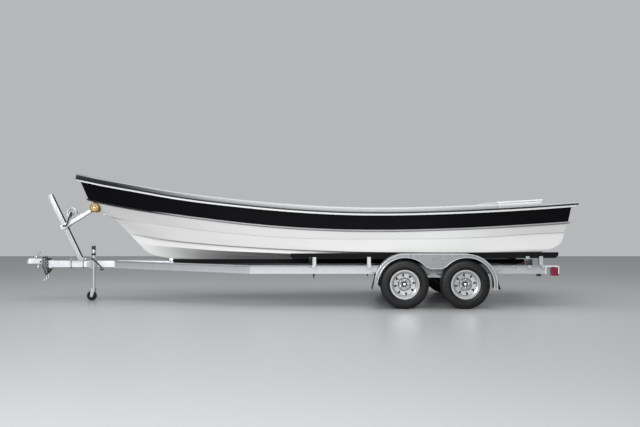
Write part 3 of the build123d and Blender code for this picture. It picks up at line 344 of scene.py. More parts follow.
def wall_finish(name):
    """Paint that is seen as a set grey, straight or reflected, and lights the boat as plain paint."""
    made, tree, shader = new_finish(name, room_grey, 0.8)
    glow = tree.nodes.new("ShaderNodeEmission")
    glow.inputs["Color"].default_value = wall_shown
    path = tree.nodes.new("ShaderNodeLightPath")
    seen = worked(tree, "MAXIMUM", path.outputs["Is Camera Ray"], path.outputs["Is Glossy Ray"])
    pick = tree.nodes.new("ShaderNodeMixShader")
    tree.links.new(seen, pick.inputs["Fac"])
    tree.links.new(shader.outputs[0], pick.inputs[1])
    tree.links.new(glow.outputs[0], pick.inputs[2])
    tree.links.new(pick.outputs[0], tree.nodes["Material Output"].inputs["Surface"])
    return made


def panel_lamp(name, place, aim, width, depth, watts):
    """A soft rectangular lamp at a place, facing a point."""
    lamp = bpy.data.lights.new(name, "AREA")
    lamp.shape = "RECTANGLE"
    lamp.size = width
    lamp.size_y = depth
    lamp.energy = watts
    holder = bpy.data.objects.new(name, lamp)
    holder.location = place
    holder.rotation_euler = (Vector(aim) - Vector(place)).to_track_quat("-Z", "Y").to_euler()
    bpy.context.scene.collection.objects.link(holder)


flat_stage("floor", width=60, depth=60, place=(0, 0, 0), tilt=0, finish=floor_finish("floor_paint"))
flat_stage("wall", width=60, depth=24, place=(0, 12, 12), tilt=math.pi / 2, finish=wall_finish("wall_paint"))
panel_lamp("ceiling_panel", place=(0.4, -0.9, 5.6), aim=(0.4, 0, 0), width=11, depth=4.6, watts=430)
panel_lamp("front_panel", place=(-1.0, -9.5, 3.6), aim=(0.4, 0, 0.9), width=10, depth=3, watts=960)

world = bpy.data.worlds.new("world")
bpy.context.scene.world = world
world.use_nodes = True
world.node_tree.nodes["Background"].inputs["Color"].default_value = sky_tint
world.node_tree.nodes["Background"].inputs["Strength"].default_value = 0.5

# ==================== hull
# A moulded skiff hull of white gelcoat over glass fibre, with its strakes and chines part
# of the moulding. Inside it is pale grey flow coat with a fine speckle.

flowcoat_from = 0.845
chine_reach = (-2.6, 3)
chine_top = 1.15
knife_edge = math.radians(100)
shortest_rim = 20
planking_thickness = 0.004


def facing_out(tree):
    """One on the boat's outer skin and low down, and nought on its inner skin above the sole."""
    from_middle = on_piece(tree, (0.25, 1, 0.1), (0, 0, -0.16))
    facing = tree.nodes.new("ShaderNodeTexCoord").outputs["Normal"]
    outer = worked(tree, "GREATER_THAN", dotted(tree, from_middle, facing), 0)
    low_down = spread(tree, part_of_place(tree, "Z"), flowcoat_from, flowcoat_from + 0.001, 1, 0)
    return worked(tree, "MAXIMUM", outer, low_down)


def flowcoat(tree):
    """Pale grey with darker flecks a few millimetres across."""
    flecks = spread(tree, mottle(tree, 260, 2), 0.56, 0.64)
    return between(tree, flecks, flowcoat_grey, flowcoat_fleck)


def skin_finish(name, outside, roughness, gloss):
    """Gelcoat outside and flow coat inside, with the faint unevenness of a moulded panel and painted shade
    along the laps and wherever surfaces meet.
    """
    made, tree, shader = new_finish(name, outside, roughness)
    cloud = spread(tree, mottle(tree, 2.2, squeeze=(0.6, 1, 2)), 0.3, 0.7)
    gel = between(tree, cloud, outside, dimmed(outside, 0.955))
    out = facing_out(tree)
    # Painted shade: the laps and meeting surfaces are darkened down to a twentieth of the colour.
    coloured(tree, shader, painted_corner_shade(tree, between(tree, out, flowcoat(tree), gel), 0.06, 0.05))
    tree.links.new(spread(tree, out, 0, 1, 0.42, roughness), shader.inputs["Roughness"])
    shader.inputs["Specular IOR Level"].default_value = gloss
    emboss(tree, shader, mottle(tree, 9, 2), 0.12, 0.004)
    return made


def slot_rims(node):
    """Closed rims where the hull's inner form runs out through the flat of the chine."""
    shell = bmesh.new()
    shell.from_mesh(nodes[node].data)
    bmesh.ops.remove_doubles(shell, verts=shell.verts, dist=1e-5)
    links = {}
    for edge in shell.edges:
        along_chine = all(chine_reach[0] < vert.co.x < chine_reach[1] and vert.co.z < chine_top
                          for vert in edge.verts)
        if along_chine and len(edge.link_faces) == 2 and edge.calc_face_angle(0) > knife_edge:
            a, b = (vert.co.copy().freeze() for vert in edge.verts)
            links.setdefault(a, []).append(b)
            links.setdefault(b, []).append(a)
    shell.free()
    rims = []
    while links:
        start = next(iter(links))
        rim, step = [start], start
        while step is not None:
            rest = [point for point in links[step] if point in links and point not in rim]
            step = rest[0] if rest else None
            if step is not None:
                rim.append(step)
        closed = len(rim) > shortest_rim and start in links[rim[-1]]
        for point in rim:
            del links[point]
        if closed:
            rims.append(rim)
    return rims


def close_chine(name, finish):
    """The flat of the chine and the planking under it, laid into the rims and given their thickness."""
    filling = bmesh.new()
    for rim in slot_rims("hull"):
        corners = [filling.verts.new(point) for point in rim]
        edges = [filling.edges.new((a, b)) for a, b in zip(corners, corners[1:] + corners[:1])]
        bmesh.ops.triangle_fill(filling, edges=edges, use_beauty=True, use_dissolve=False)
    bmesh.ops.recalc_face_normals(filling, faces=filling.faces)
    for face in filling.faces:
        if face.normal.y * face.calc_center_median().y < 0:
            face.normal_flip()
    bmesh.ops.solidify(filling, geom=filling.faces[:], thickness=planking_thickness)
    piece = made_object(name, filling)
    piece.data.materials.append(finish)
    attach(piece, "boat_on_trailer")


white_skin = skin_finish("white_gelcoat", gelcoat_white, 0.22, 0.5)
dress(["hull"], white_skin)
close_chine("chine_planking", white_skin)
dress(["sheer_strake"], skin_finish("black_gelcoat", gelcoat_black, 0.14, 0.07))

# ==================== gunwale and mouldings
# The gunwale is a raised grey moulding bedded on the sheer. Under it a black vinyl rub rail
# holds a pale insert, and a grey ledge closes the joint under the black band.

gunwale_joint = 3.007


def plain_gelcoat(name, colour, roughness):
    """One colour of gelcoat, a little dulled in streaks."""
    made, tree, shader = new_finish(name, colour, roughness)
    coloured(tree, shader, between(tree, weathering(tree, 0.35, 0.7), colour, dimmed(colour, 0.9)))
    lacquer(shader, 0.2, 0.1)
    emboss(tree, shader, mottle(tree, 30, 2), 0.08, 0.002)
    return made


def vinyl(name, colour, roughness):
    """Extruded vinyl, with faint lines drawn along it."""
    made, tree, shader = new_finish(name, colour, roughness)
    drawn = mottle(tree, 60, 3, squeeze=(0.3, 3, 3))
    coloured(tree, shader, between(tree, spread(tree, drawn, 0.3, 0.7), colour, dimmed(colour, 0.8)))
    emboss(tree, shader, drawn, 0.1, 0.001)
    return made


def gunwale_gelcoat(name):
    """Grey gelcoat, darker at the bow, where its upright sides are painted near-black as shade, and paler aft
    of a narrow joint.
    """
    made, tree, shader = new_finish(name, (0.34, 0.36, 0.37, 1), 0.26)
    along = part_of_place(tree, "X")
    forward = between(tree, spread(tree, along, -3.4, 1.0), (0.17, 0.18, 0.185, 1), (0.34, 0.355, 0.36, 1))
    past_joint = spread(tree, along, gunwale_joint - 0.003, gunwale_joint - 0.001)
    grey = between(tree, past_joint, forward, (0.42, 0.43, 0.435, 1))
    worn = between(tree, weathering(tree, 0.4, 0.75, 0.25), grey, (0.2, 0.21, 0.215, 1))
    # Painted shade: the cap's upright faces at the bow are painted near-black.
    upright = spread(tree, facing_up(tree), 0.35, 0.6, 1, 0)
    shaded_bow_sides = worked(tree, "MULTIPLY", upright, spread(tree, along, -2.7, -1.2, 1, 0))
    joint = worked(tree, "COMPARE", along, gunwale_joint, 0.0025)
    coloured(tree, shader, between(tree, joint, between(tree, shaded_bow_sides, worn, near_black), (0.04, 0.04, 0.042, 1)))
    lacquer(shader, 0.2, 0.12)
    emboss(tree, shader, mottle(tree, 30, 2), 0.08, 0.002)
    return made


def insert_vinyl(name):
    """Pale insert held in the black rail, with painted shade in black on its downward-facing underside."""
    made, tree, shader = new_finish(name, (0.72, 0.73, 0.74, 1), 0.28)
    # Painted shade: faces that look downward are painted black.
    shaded_underside = spread(tree, facing_up(tree), -0.3, -0.2, 1, 0)
    drawn = spread(tree, mottle(tree, 60, 3, squeeze=(0.3, 3, 3)), 0.3, 0.7)
    pale = between(tree, drawn, (0.76, 0.77, 0.78, 1), (0.66, 0.67, 0.68, 1))
    coloured(tree, shader, between(tree, shaded_underside, pale, jet))
    return made


def ledge_gelcoat(name):
    """Grey ledge, run out in black forward where the band meets the stem."""
    made, tree, shader = new_finish(name, (0.36, 0.365, 0.37, 1), 0.3)
    forward = spread(tree, part_of_place(tree, "X"), -2.1, -1.7, 1, 0)
    grey = between(tree, weathering(tree, 0.35, 0.7), (0.36, 0.365, 0.37, 1), (0.3, 0.305, 0.31, 1))
    coloured(tree, shader, between(tree, forward, grey, jet))
    return made


dress(["gunwale_cap", "quarter_gunwale"], gunwale_gelcoat("gunwale_gelcoat"))
dress(["rub_rail"], vinyl("black_vinyl", jet, 0.35))
dress(["rub_rail_bead"], insert_vinyl("pale_vinyl"))
dress(["knuckle_moulding"], ledge_gelcoat("ledge_gelcoat"))

# ==================== cockpit
# Sole, box thwarts, foredeck and stern locker are moulded panels. What is trodden on has a
# raised non-slip grain, and the upright faces are smooth.


def trodden_panel(name):
    """Flow coat with a non-slip grain on what faces up."""
    made, tree, shader = new_finish(name, flowcoat_grey, 0.45)
    coloured(tree, shader, flowcoat(tree))
    flat_top = spread(tree, facing_up(tree), 0.9, 0.97)
    grain = worked(tree, "MULTIPLY", cells(tree, 120).outputs["Distance"], flat_top)
    emboss(tree, shader, grain, 0.5, 0.002)
    return made


dress(["sole", "fore_thwart", "middle_thwart", "aft_thwart", "foredeck", "stern_locker", "motor_well"],
      trodden_panel("cockpit_flowcoat"))
dress(["stern_locker_lid"], plain_gelcoat("locker_lid_gelcoat", (0.74, 0.76, 0.765, 1), 0.25))

# ==================== stem eye
# A bent stainless bar on a plate, through-bolted to the stem for the winch hook.


def bright_steel(name, colour, roughness):
    """Bare or plated metal with a faint brushed grain."""
    made, tree, shader = new_finish(name, colour, roughness, 1.0)
    brushed = mottle(tree, 90, 3, squeeze=(1, 1, 12))
    tree.links.new(spread(tree, brushed, 0.3, 0.7, roughness * 0.8, roughness * 1.3),
                   shader.inputs["Roughness"])
    return made


stainless = bright_steel("stainless_steel", (0.62, 0.63, 0.64, 1), 0.2)
zinc_bright = bright_steel("zinc_plate", (0.74, 0.75, 0.76, 1), 0.26)
dress(["bow_eye"], stainless)

# ==================== trailer frame
# Rails, tongue, cross tubes and brackets are welded steel, hot-dip galvanised after welding.
# Zinc is pale, with crystals about a centimetre across and duller runs where it drained.


def zinc_runs(tree):
    """Runs left where the zinc drained."""
    return mottle(tree, 14, 4, 0.6, squeeze=(1, 1, 0.3))


def galvanised(name, roughness, brightness=1.0, spangle=0.35):
    """Hot-dip zinc: crystals of two tones, crossed by duller runs."""
    made, tree, shader = new_finish(name, zinc_pale, roughness, 0.4)
    shade = tree.nodes.new("ShaderNodeSeparateColor")
    tree.links.new(cells(tree, 110).outputs["Color"], shade.inputs[0])
    runs = zinc_runs(tree)
    pale = dimmed(zinc_pale, brightness)
    dark = dimmed(zinc_dark, brightness)
    spangled = between(tree, spread(tree, shade.outputs[0], 0, 1, 0, spangle), pale, dark)
    coloured(tree, shader, between(tree, spread(tree, runs, 0.45, 0.75, 0, 0.5), spangled, dark))
    tree.links.new(spread(tree, shade.outputs[1], 0, 1, roughness * 0.8, roughness * 1.25),
                   shader.inputs["Roughness"])
    emboss(tree, shader, runs, 0.15, 0.002)
    return made


dress(["side_rail_left", "side_rail_right", "crossmembers", "front_axle", "rear_axle", "spring_hangers",
       "equalizers", "fender_brackets", "winch_frame", "jack_mount", "jack_tube", "jack_leg",
       "jack_caster", "bunk_brackets"], galvanised("galvanised_steel", 0.38))
dress(["tongue", "coupler", "bow_stop_arm", "tail_lamp_guards"],
      galvanised("fresh_galvanising", 0.45, 1.6, 0.2))

# ==================== bunks
# Timber bearers wrapped in black marine carpet, screwed down on their brackets.


def carpet(name):
    """Short black tufts that hardly shine."""
    made, tree, shader = new_finish(name, (0.01, 0.01, 0.011, 1), 0.95)
    tuft = mottle(tree, 420, 4, 0.7)
    coloured(tree, shader, between(tree, spread(tree, tuft, 0.35, 0.7), (0.003, 0.003, 0.0032, 1),
                                   (0.012, 0.012, 0.0125, 1)))
    shader.inputs["Sheen Weight"].default_value = 0.08
    shader.inputs["Sheen Roughness"].default_value = 0.5
    shader.inputs["Specular IOR Level"].default_value = 0.1
    emboss(tree, shader, tuft, 0.8, 0.003)
    return made


dress(["outer_bunks", "inner_bunks"], carpet("marine_carpet"))

# ==================== springs
# Black painted leaf packs, with the road dirt that dulls them.


def black_paint(name, roughness):
    """Black paint under thin road dust."""
    made, tree, shader = new_finish(name, near_black, roughness)
    dust = spread(tree, mottle(tree, 35, 5, 0.6), 0.5, 0.75, 0, 0.35)
    coloured(tree, shader, between(tree, dust, near_black, (0.05, 0.048, 0.045, 1)))
    emboss(tree, shader, mottle(tree, 300, 2), 0.1, 0.0006)
    return made


painted_black = black_paint("black_paint", 0.4)
dress(["leaf_springs", "jack_crank", "jack_cap"], painted_black)

# ==================== wheels
# Steel-belted trailer tyres on silver painted steel wheels with eight windows, over greasy
# cast drums and hubs.

tyre_steps = 144
tread_radius = 0.3445
groove_floor = 0.3375
groove_half = 0.0042
groove_flare = 0.0012
bead_radius = 0.2105
bead_half = 0.0755
barrel_end = 1.036
disc_start = 1.044
shoulder_from = 0.055
shoulder_to = 0.08
shoulder_radius = 0.3405
rib_from = 0.021
rib_to = 0.043
rib_radius = 0.3435
cut_margin = 0.0011
cut_depth = 0.0055
dust_cap_end = 0.058
stud_ring = 0.05715
stud_count = 5


def tyre_rubber(name):
    """Rubber, greyer where dust has worked in."""
    made, tree, shader = new_finish(name, near_black, 0.46)
    dust = spread(tree, mottle(tree, 18, 5, 0.6), 0.42, 0.75, 0, 0.5)
    coloured(tree, shader, between(tree, dust, (0.006, 0.006, 0.0065, 1), (0.016, 0.016, 0.0155, 1)))
    shader.inputs["Specular IOR Level"].default_value = 0.25
    emboss(tree, shader, mottle(tree, 500, 3), 0.25, 0.0008)
    return made


def silver_paint(name):
    """Silver on the face of the wheel, fading to near-black painted shade on the barrel behind the disc, with
    painted shade in its corners.
    """
    made, tree, shader = new_finish(name, (0.62, 0.64, 0.66, 1), 0.26, 0.7)
    flake = mottle(tree, 900, 2)
    silver = between(tree, spread(tree, flake, 0.3, 0.7), (0.58, 0.59, 0.6, 1), (0.48, 0.49, 0.5, 1))
    off_middle = worked(tree, "ABSOLUTE", part_of_place(tree, "Y"))
    # Painted shade: the barrel behind the disc is painted near-black.
    barrel_in_shade = spread(tree, off_middle, barrel_end, disc_start, 1, 0)
    shaded_barrel = between(tree, barrel_in_shade, silver, (0.03, 0.03, 0.032, 1))
    coloured(tree, shader, painted_corner_shade(tree, shaded_barrel, 0.03, 0.35))
    lacquer(shader, 0.4, 0.1)
    return made


def cast_iron(name):
    """Rough sand-cast iron."""
    made, tree, shader = new_finish(name, (0.1, 0.1, 0.105, 1), 0.5, 0.7)
    sand = mottle(tree, 240, 4, 0.7)
    coloured(tree, shader, between(tree, spread(tree, sand, 0.3, 0.7), (0.13, 0.13, 0.135, 1),
                                   (0.06, 0.058, 0.056, 1)))
    emboss(tree, shader, sand, 0.4, 0.001)
    return made


rubber = tyre_rubber("tyre_rubber")
wheel_silver = silver_paint("wheel_silver")
drum_iron = cast_iron("drum_iron")
axle_black = black_paint("axle_black", 0.6)


def groove(place):
    """A ring groove in the tread, as seen on a cut through it."""
    lip = tread_radius - 0.0003
    return [(lip, place - groove_half - groove_flare), (groove_floor, place - groove_half),
            (groove_floor, place + groove_half), (lip, place + groove_half + groove_flare)]


def tyre_profile():
    """Half of the section, from the tread down the side wall to the bead and back inside, mirrored."""
    half = groove(0.016) + groove(0.048)
    half += [(0.3441, 0.068), (0.3425, 0.078), (0.3385, 0.0845), (0.333, 0.089), (0.329, 0.0905),
             (0.328, 0.0935), (0.325, 0.0945), (0.324, 0.0935), (0.31, 0.0975), (0.298, 0.0998),
             (0.296, 0.1012), (0.293, 0.1015), (0.2915, 0.1006), (0.278, 0.102), (0.262, 0.1025),
             (0.252, 0.1017), (0.25, 0.1024), (0.2475, 0.1022), (0.246, 0.1008), (0.234, 0.096),
             (0.224, 0.089), (0.2205, 0.088), (0.2185, 0.0865), (0.215, 0.0815), (bead_radius, bead_half)]
    inner = [(0.1915, 0.0755), (0.1915, 0.06), (0.211, 0.062), (0.245, 0.088), (0.285, 0.089),
             (0.323, 0.076)]
    whole = half + inner
    return whole + [(radius, -along) for radius, along in reversed(whole)]


def tyre_mesh(centre):
    """The turned tyre, with short cuts sunk across its shoulders and ribs."""
    mesh = bmesh.new()
    turned(mesh, tyre_profile(), centre, (0, 1, 0), tyre_steps)
    bmesh.ops.recalc_face_normals(mesh, faces=mesh.faces)
    cuts = []
    for face in mesh.faces:
        middle = face.calc_center_median() - Vector(centre)
        radius = math.hypot(middle.x, middle.z)
        step = round(math.degrees(math.atan2(middle.x, middle.z)) / 360 * tyre_steps - 0.5) % tyre_steps
        on_shoulder = radius > shoulder_radius and shoulder_from < abs(middle.y) < shoulder_to
        on_rib = radius > rib_radius and rib_from < abs(middle.y) < rib_to
        if (on_shoulder and step % 4 == 0) or (on_rib and step % 6 == (0 if middle.y > 0 else 3)):
            cuts.append(face)
    bmesh.ops.inset_individual(mesh, faces=cuts, thickness=cut_margin, depth=-cut_depth, use_even_offset=True)
    return mesh


def wheel_trim(mesh, centre, side):
    """Bright dust cap and the five wheel nuts."""
    turned(mesh, [(0, dust_cap_end + 0.002), (0.01, dust_cap_end + 0.0018), (0.0185, dust_cap_end + 0.0002),
                  (0.0228, dust_cap_end - 0.003), (0.0246, dust_cap_end - 0.01), (0.027, 0.046)],
           centre, (0, side, 0), 32, closed=False)
    for count in range(stud_count):
        turn = 2 * math.pi * count / stud_count
        place = Vector(centre) + Vector((math.cos(turn) * stud_ring, 0, math.sin(turn) * stud_ring))
        turned(mesh, [(0, 0.0335), (0.0055, 0.0325), (0.01, 0.0285), (0.0115, 0.0245), (0.0118, 0.014),
                      (0.015, 0.0125)], place, (0, side, 0), 6, closed=False)


def hub_seal_and_shade_disc(mesh, centre, side):
    """Dark greased neck between the dust cap and the disc, and a black disc behind the windows that stands in
    for the shade seen through them.
    """
    turned(mesh, [(0.0246, 0.048), (0.03, 0.044), (0.0335, 0.04), (0.0345, 0.018), (0.0385, 0.0128)],
           centre, (0, side, 0), 40, closed=False)
    # A black disc behind the windows, put there as painted shade.
    turned(mesh, [(0.09, -0.012), (0.158, -0.012), (0.161, -0.015), (0.161, -0.019), (0.158, -0.021),
                  (0.09, -0.021)], centre, (0, side, 0), 64)


for end in ("front", "rear"):
    for side_name, side in sides:
        wheel = f"{end}_{side_name}"
        centre = middle_of(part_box(f"{wheel}_tyre"))
        tyre = made_piece(f"{wheel}_treaded_tyre", tyre_mesh(centre), f"wheel_{wheel}", rubber, 30)
        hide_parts(f"{wheel}_tyre")
        dress([f"{wheel}_rim"], wheel_silver)
        dress([f"{wheel}_hub"], drum_iron)
        trim = bmesh.new()
        wheel_trim(trim, centre, side)
        made_piece(f"{wheel}_cap_and_nuts", trim, f"wheel_{wheel}", zinc_bright)
        seal = bmesh.new()
        hub_seal_and_shade_disc(seal, centre, side)
        made_piece(f"{wheel}_hub_seal_and_shade_disc", seal, f"wheel_{wheel}", axle_black)

# ==================== fenders
# Pressed bright sheet, rolled over the wheels and stiffened by its folded edges.

dress(["fender_left", "fender_right"], galvanised("fender_sheet", 0.3, 0.6, 0.2))
# Painted highlight: the rolled edges are the fender's zinc made paler than its sheet.
painted_highlight_zinc = galvanised("rolled_edge", 0.24, 1.3)
rolled_radius = 0.0055
fold = math.radians(40)


def edge_lines(node, outer_y, reach=0.0012):
    """The folded outer edges of a pressed part, as lines of points read from its own shape."""
    copy = bmesh.new()
    copy.from_mesh(nodes[node].data)
    bmesh.ops.remove_doubles(copy, verts=copy.verts, dist=1e-5)
    bmesh.ops.dissolve_limit(copy, angle_limit=math.radians(0.5), verts=copy.verts, edges=copy.edges)
    links = {}
    for edge in copy.edges:
        outermost = all(abs(abs(vert.co.y) - outer_y) < reach for vert in edge.verts)
        if outermost and len(edge.link_faces) == 2 and edge.calc_face_angle(0) > fold:
            a, b = (tuple(round(c, 5) for c in vert.co) for vert in edge.verts)
            links.setdefault(a, set()).add(b)
            links.setdefault(b, set()).add(a)
    copy.free()
    lines = []
    while links:
        start = min(links)
        line = [start]
        while line[-1] in links and links[line[-1]]:
            step = min(links[line[-1]])
            links[line[-1]].discard(step)
            links[step].discard(line[-1])
            line.append(step)
        for point in [p for p in links if not links[p]]:
            del links[point]
        if len(line) > 3:
            lines.append(line)
    return lines


for node in ("fender_left", "fender_right"):
    outer_y = max(abs(corner[1]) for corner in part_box(node))
    beads = bmesh.new()
    for line in edge_lines(node, outer_y):
        loop = line[0] == line[-1]
        rod_along(beads, line[:-1] if loop else line, rolled_radius, 8, closed=loop)
    made_piece(f"{node}_rolled_edges", beads, "boat_on_trailer", painted_highlight_zinc)

# ==================== bow roller, jack wheel and lamps
# Cast amber polyurethane against the stem, black rubber on the jack, moulded red lenses aft.


def amber_cast(name):
    """Cloudy amber, swirled with brown."""
    made, tree, shader = new_finish(name, (0.6, 0.38, 0.1, 1), 0.35)
    swirl = mottle(tree, 60, 4, 0.6)
    coloured(tree, shader, between(tree, spread(tree, swirl, 0.42, 0.58), (0.62, 0.42, 0.13, 1),
                                   (0.16, 0.085, 0.02, 1)))
    shader.inputs["Subsurface Weight"].default_value = 0.1
    emboss(tree, shader, swirl, 0.2, 0.002)
    return made


def red_lens(name):
    """Red moulded lens with fine ribs."""
    made, tree, shader = new_finish(name, (0.2, 0.006, 0.035, 1), 0.15)
    ribs = tree.nodes.new("ShaderNodeTexWave")
    ribs.bands_direction = "Z"
    ribs.inputs["Scale"].default_value = 60
    tree.links.new(on_piece(tree), ribs.inputs["Vector"])
    emboss(tree, shader, ribs.outputs["Fac"], 0.3, 0.001)
    return made


amber = amber_cast("amber_polyurethane")
dress(["bow_roller"], amber)
dress(["jack_wheel", "mud_flaps"], rubber)
dress(["tail_lamps"], red_lens("red_lens"))

# The bow roller's end bells, cast in the same amber, hide the fork from the sides.

roller_centre = middle_of(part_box("bow_roller"))
bells = bmesh.new()
for side in (-1, 1):
    turned(bells, [(0.011, 0.0605), (0.064, 0.0605), (0.0705, 0.064), (0.072, 0.069), (0.069, 0.0755),
                   (0.06, 0.0815), (0.047, 0.085), (0.03, 0.0865), (0.02, 0.085), (0.015, 0.08),
                   (0.011, 0.079)], roller_centre, (0, side, 0), 48)
made_piece("roller_end_bells", bells, "roller", amber, 50)
roller_nuts = bmesh.new()
for side in (-1, 1):
    turned(roller_nuts, [(0, 0.093), (0.009, 0.0925), (0.013, 0.0895), (0.0135, 0.081), (0.0185, 0.08),
                         (0.0185, 0.078)], roller_centre, (0, side, 0), 6, closed=False)
made_piece("roller_nuts", roller_nuts, "boat_on_trailer", zinc_bright)

# ==================== winch post and bow stop
# The post is a pressed steel channel, open aft, held to the tongue by black U-bolts. Its
# own tube in the frame is cut open along the aft wall to make that channel.

post_foot = Vector((-3.333, 0, 0.62))
post_head = Vector((-3.827, 0, 1.647))
post_half = 0.038
post_run = (post_head - post_foot).normalized()
post_aft = Vector((post_run.z, 0, -post_run.x))
slot_half = 0.0315
slot_start = 0.04
slot_past_head = 0.02
slot_depth = 0.03
channel_half = 0.0344
u_bolt_top = 0.612


def post_finish(name):
    """Galvanised steel, with painted shadow inside the channel and painted shade in its corners, and black
    U-bolts below the post's foot.
    """
    made, tree, shader = new_finish(name, zinc_pale, 0.4, 0.6)
    runs = zinc_runs(tree)
    pale = between(tree, spread(tree, runs, 0.4, 0.75), (0.58, 0.59, 0.6, 1), (0.44, 0.45, 0.46, 1))
    low_down = spread(tree, part_of_place(tree, "Z"), u_bolt_top, u_bolt_top + 0.0005, 1, 0)
    deep = dotted(tree, on_piece(tree, shift=-post_foot), post_aft)
    within = [spread(tree, worked(tree, "ABSOLUTE", off_middle), channel_half, channel_half + 0.0006, 1, 0)
              for off_middle in (part_of_place(tree, "Y"), deep)]
    shadowed = between(tree, worked(tree, "MULTIPLY", *within), pale, near_black)
    coloured(tree, shader, painted_corner_shade(tree, between(tree, low_down, shadowed, near_black), 0.07, 0.02))
    tree.links.new(spread(tree, low_down, 0, 1, 0.6, 0.0), shader.inputs["Metallic"])
    emboss(tree, shader, runs, 0.15, 0.002)
    return made


def slot_cutter():
    """A block as wide as the slot, laid along the aft wall from above the foot to past the head."""
    length = (post_head - post_foot).length - slot_start + slot_past_head
    middle = post_foot + post_run * (slot_start + length / 2) + post_aft * post_half
    turn = Matrix((Vector((0, 1, 0)), post_aft, post_run)).transposed().to_4x4()
    size = Matrix.Diagonal((2 * slot_half, slot_depth, length, 1))
    block = bmesh.new()
    bmesh.ops.create_cube(block, size=1, matrix=Matrix.Translation(middle) @ turn @ size)
    bmesh.ops.recalc_face_normals(block, faces=block.faces)
    return made_object("slot_cutter", block)


post_copy = bmesh.new()
post_copy.from_mesh(nodes["winch_post"].data)
bmesh.ops.remove_doubles(post_copy, verts=post_copy.verts, dist=1e-5)
post = made_piece("open_winch_post", post_copy, "boat_on_trailer",
                  post_finish("post_zinc"), 25)
cutter = slot_cutter()
slotting = post.modifiers.new("slot", "BOOLEAN")
slotting.operation = "DIFFERENCE"
slotting.solver = "EXACT"
slotting.object = cutter
cut_post = post.evaluated_get(bpy.context.evaluated_depsgraph_get())
cut_mesh = bpy.data.meshes.new_from_object(cut_post)
post.modifiers.clear()
post.data = cut_mesh
bpy.data.objects.remove(cutter)
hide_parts("winch_post")

bolt_places = (-3.476, -3.287)
bolt_reach = 0.0575
post_bolts = bmesh.new()
rod_along(post_bolts, [(bolt_places[0], -bolt_reach, height) for height in (0.64, 0.735)], 0.0045)
for x in bolt_places:
    for side in (-1, 1):
        turned(post_bolts, [(0, 0.65), (0.0075, 0.649), (0.0085, 0.644), (0.0088, 0.632), (0.012, 0.6312),
                            (0.012, 0.6285)], (x, side * bolt_reach, 0), (0, 0, 1), 6, closed=False)
made_piece("post_bolt_nuts", post_bolts, "boat_on_trailer", zinc_bright)

# ==================== winch
# A hand winch: a zinc-plated gear on the near side, a drum of webbing between the frame's
# cheeks, and a black crank with a grip.

reel_axle = Vector((-3.46529, 0, 1.37014))
gear_front = -0.062
strap_turns = 9
strap_thickness = 0.0018


def winch_finish(name):
    """Zinc plate on the gear and drum, and black paint on the crank that stands off them."""
    made, tree, shader = new_finish(name, (0.6, 0.61, 0.62, 1), 0.3, 0.8)
    off_gear = spread(tree, part_of_place(tree, "Y"), gear_front - 0.001, gear_front, 1, 0)
    swirl = mottle(tree, 40, 2, shift=-reel_axle)
    plate = between(tree, spread(tree, swirl, 0.35, 0.65), (0.66, 0.67, 0.68, 1), (0.48, 0.49, 0.5, 1))
    coloured(tree, shader, between(tree, off_gear, plate, jet))
    tree.links.new(spread(tree, off_gear, 0, 1, 0.8, 0.0), shader.inputs["Metallic"])
    emboss(tree, shader, mottle(tree, 300, 2), 0.1, 0.0006)
    return made


dress(["winch_reel"], winch_finish("winch_plate"))
rings = bmesh.new()
turned(rings, [(0.064, 0.0515), (0.066, 0.056), (0.076, 0.0565), (0.0786, 0.054), (0.0786, 0.043),
               (0.076, 0.041), (0.064, 0.0415)], reel_axle, (0, -1, 0), 60)
turned(rings, [(0.03, 0.0518), (0.031, 0.0548), (0.035, 0.0552), (0.037, 0.0518)], reel_axle,
       (0, -1, 0), 48)
made_piece("winch_gear_rim", rings, "reel", zinc_bright)
gear_face = bmesh.new()
turned(gear_face, [(0.038, 0.0521), (0.04, 0.053), (0.061, 0.053), (0.063, 0.0521)], reel_axle,
       (0, -1, 0), 60)
made_piece("winch_gear_face", gear_face, "reel",
           bright_steel("gear_steel", (0.3, 0.305, 0.31, 1), 0.4))


def webbing(name):
    """Woven polyester strap, wound edge on."""
    made, tree, shader = new_finish(name, (0.16, 0.17, 0.18, 1), 0.8)
    weave = mottle(tree, 300, 3, 0.6, squeeze=(1, 4, 1))
    coloured(tree, shader, between(tree, spread(tree, weave, 0.35, 0.65), (0.22, 0.23, 0.24, 1),
                                   (0.1, 0.105, 0.11, 1)))
    emboss(tree, shader, weave, 0.5, 0.001)
    return made


roll = bmesh.new()
wound = [(0.0445, -0.026)]
for turn in range(strap_turns):
    edge = 0.0447 + turn * strap_thickness
    wound += [(edge + 0.0003, -0.0262), (edge + 0.0014, -0.0266)]
wound += [(0.0612, -0.025)]
turned(roll, wound + [(radius, -along) for radius, along in reversed(wound)], reel_axle, (0, 1, 0), 60)
made_piece("strap_roll", roll, "reel", webbing("winch_webbing"))

# ==================== coupler and safety chains
# The pressed coupler clamps the ball by a lever above and a nut below. Behind it the black
# chain hangs in three loops round the tongue, with a hook at each of its two ends.

ball_nut_at = (-4.012, 0, 0)
latch_nut_at = (-3.83, 0, 0.585)
coupler_bolt_at = (-3.955, 0, 0.6)
link_wire = 0.004
link_half_width = 0.0115
link_straight = 0.015
chain_reach = 0.0745
chain_loops = ((-3.905, -3.885, 0.395, 0.667), (-3.868, -3.85, 0.42, 0.64), (-3.836, -3.832, 0.445, 0.64))
hook_tops = ((-3.884, 0.392), (-3.852, 0.416))
hook_radius = 0.018
hook_wire = 0.0042
hook_lean = 0.016
hook_drop = 0.074

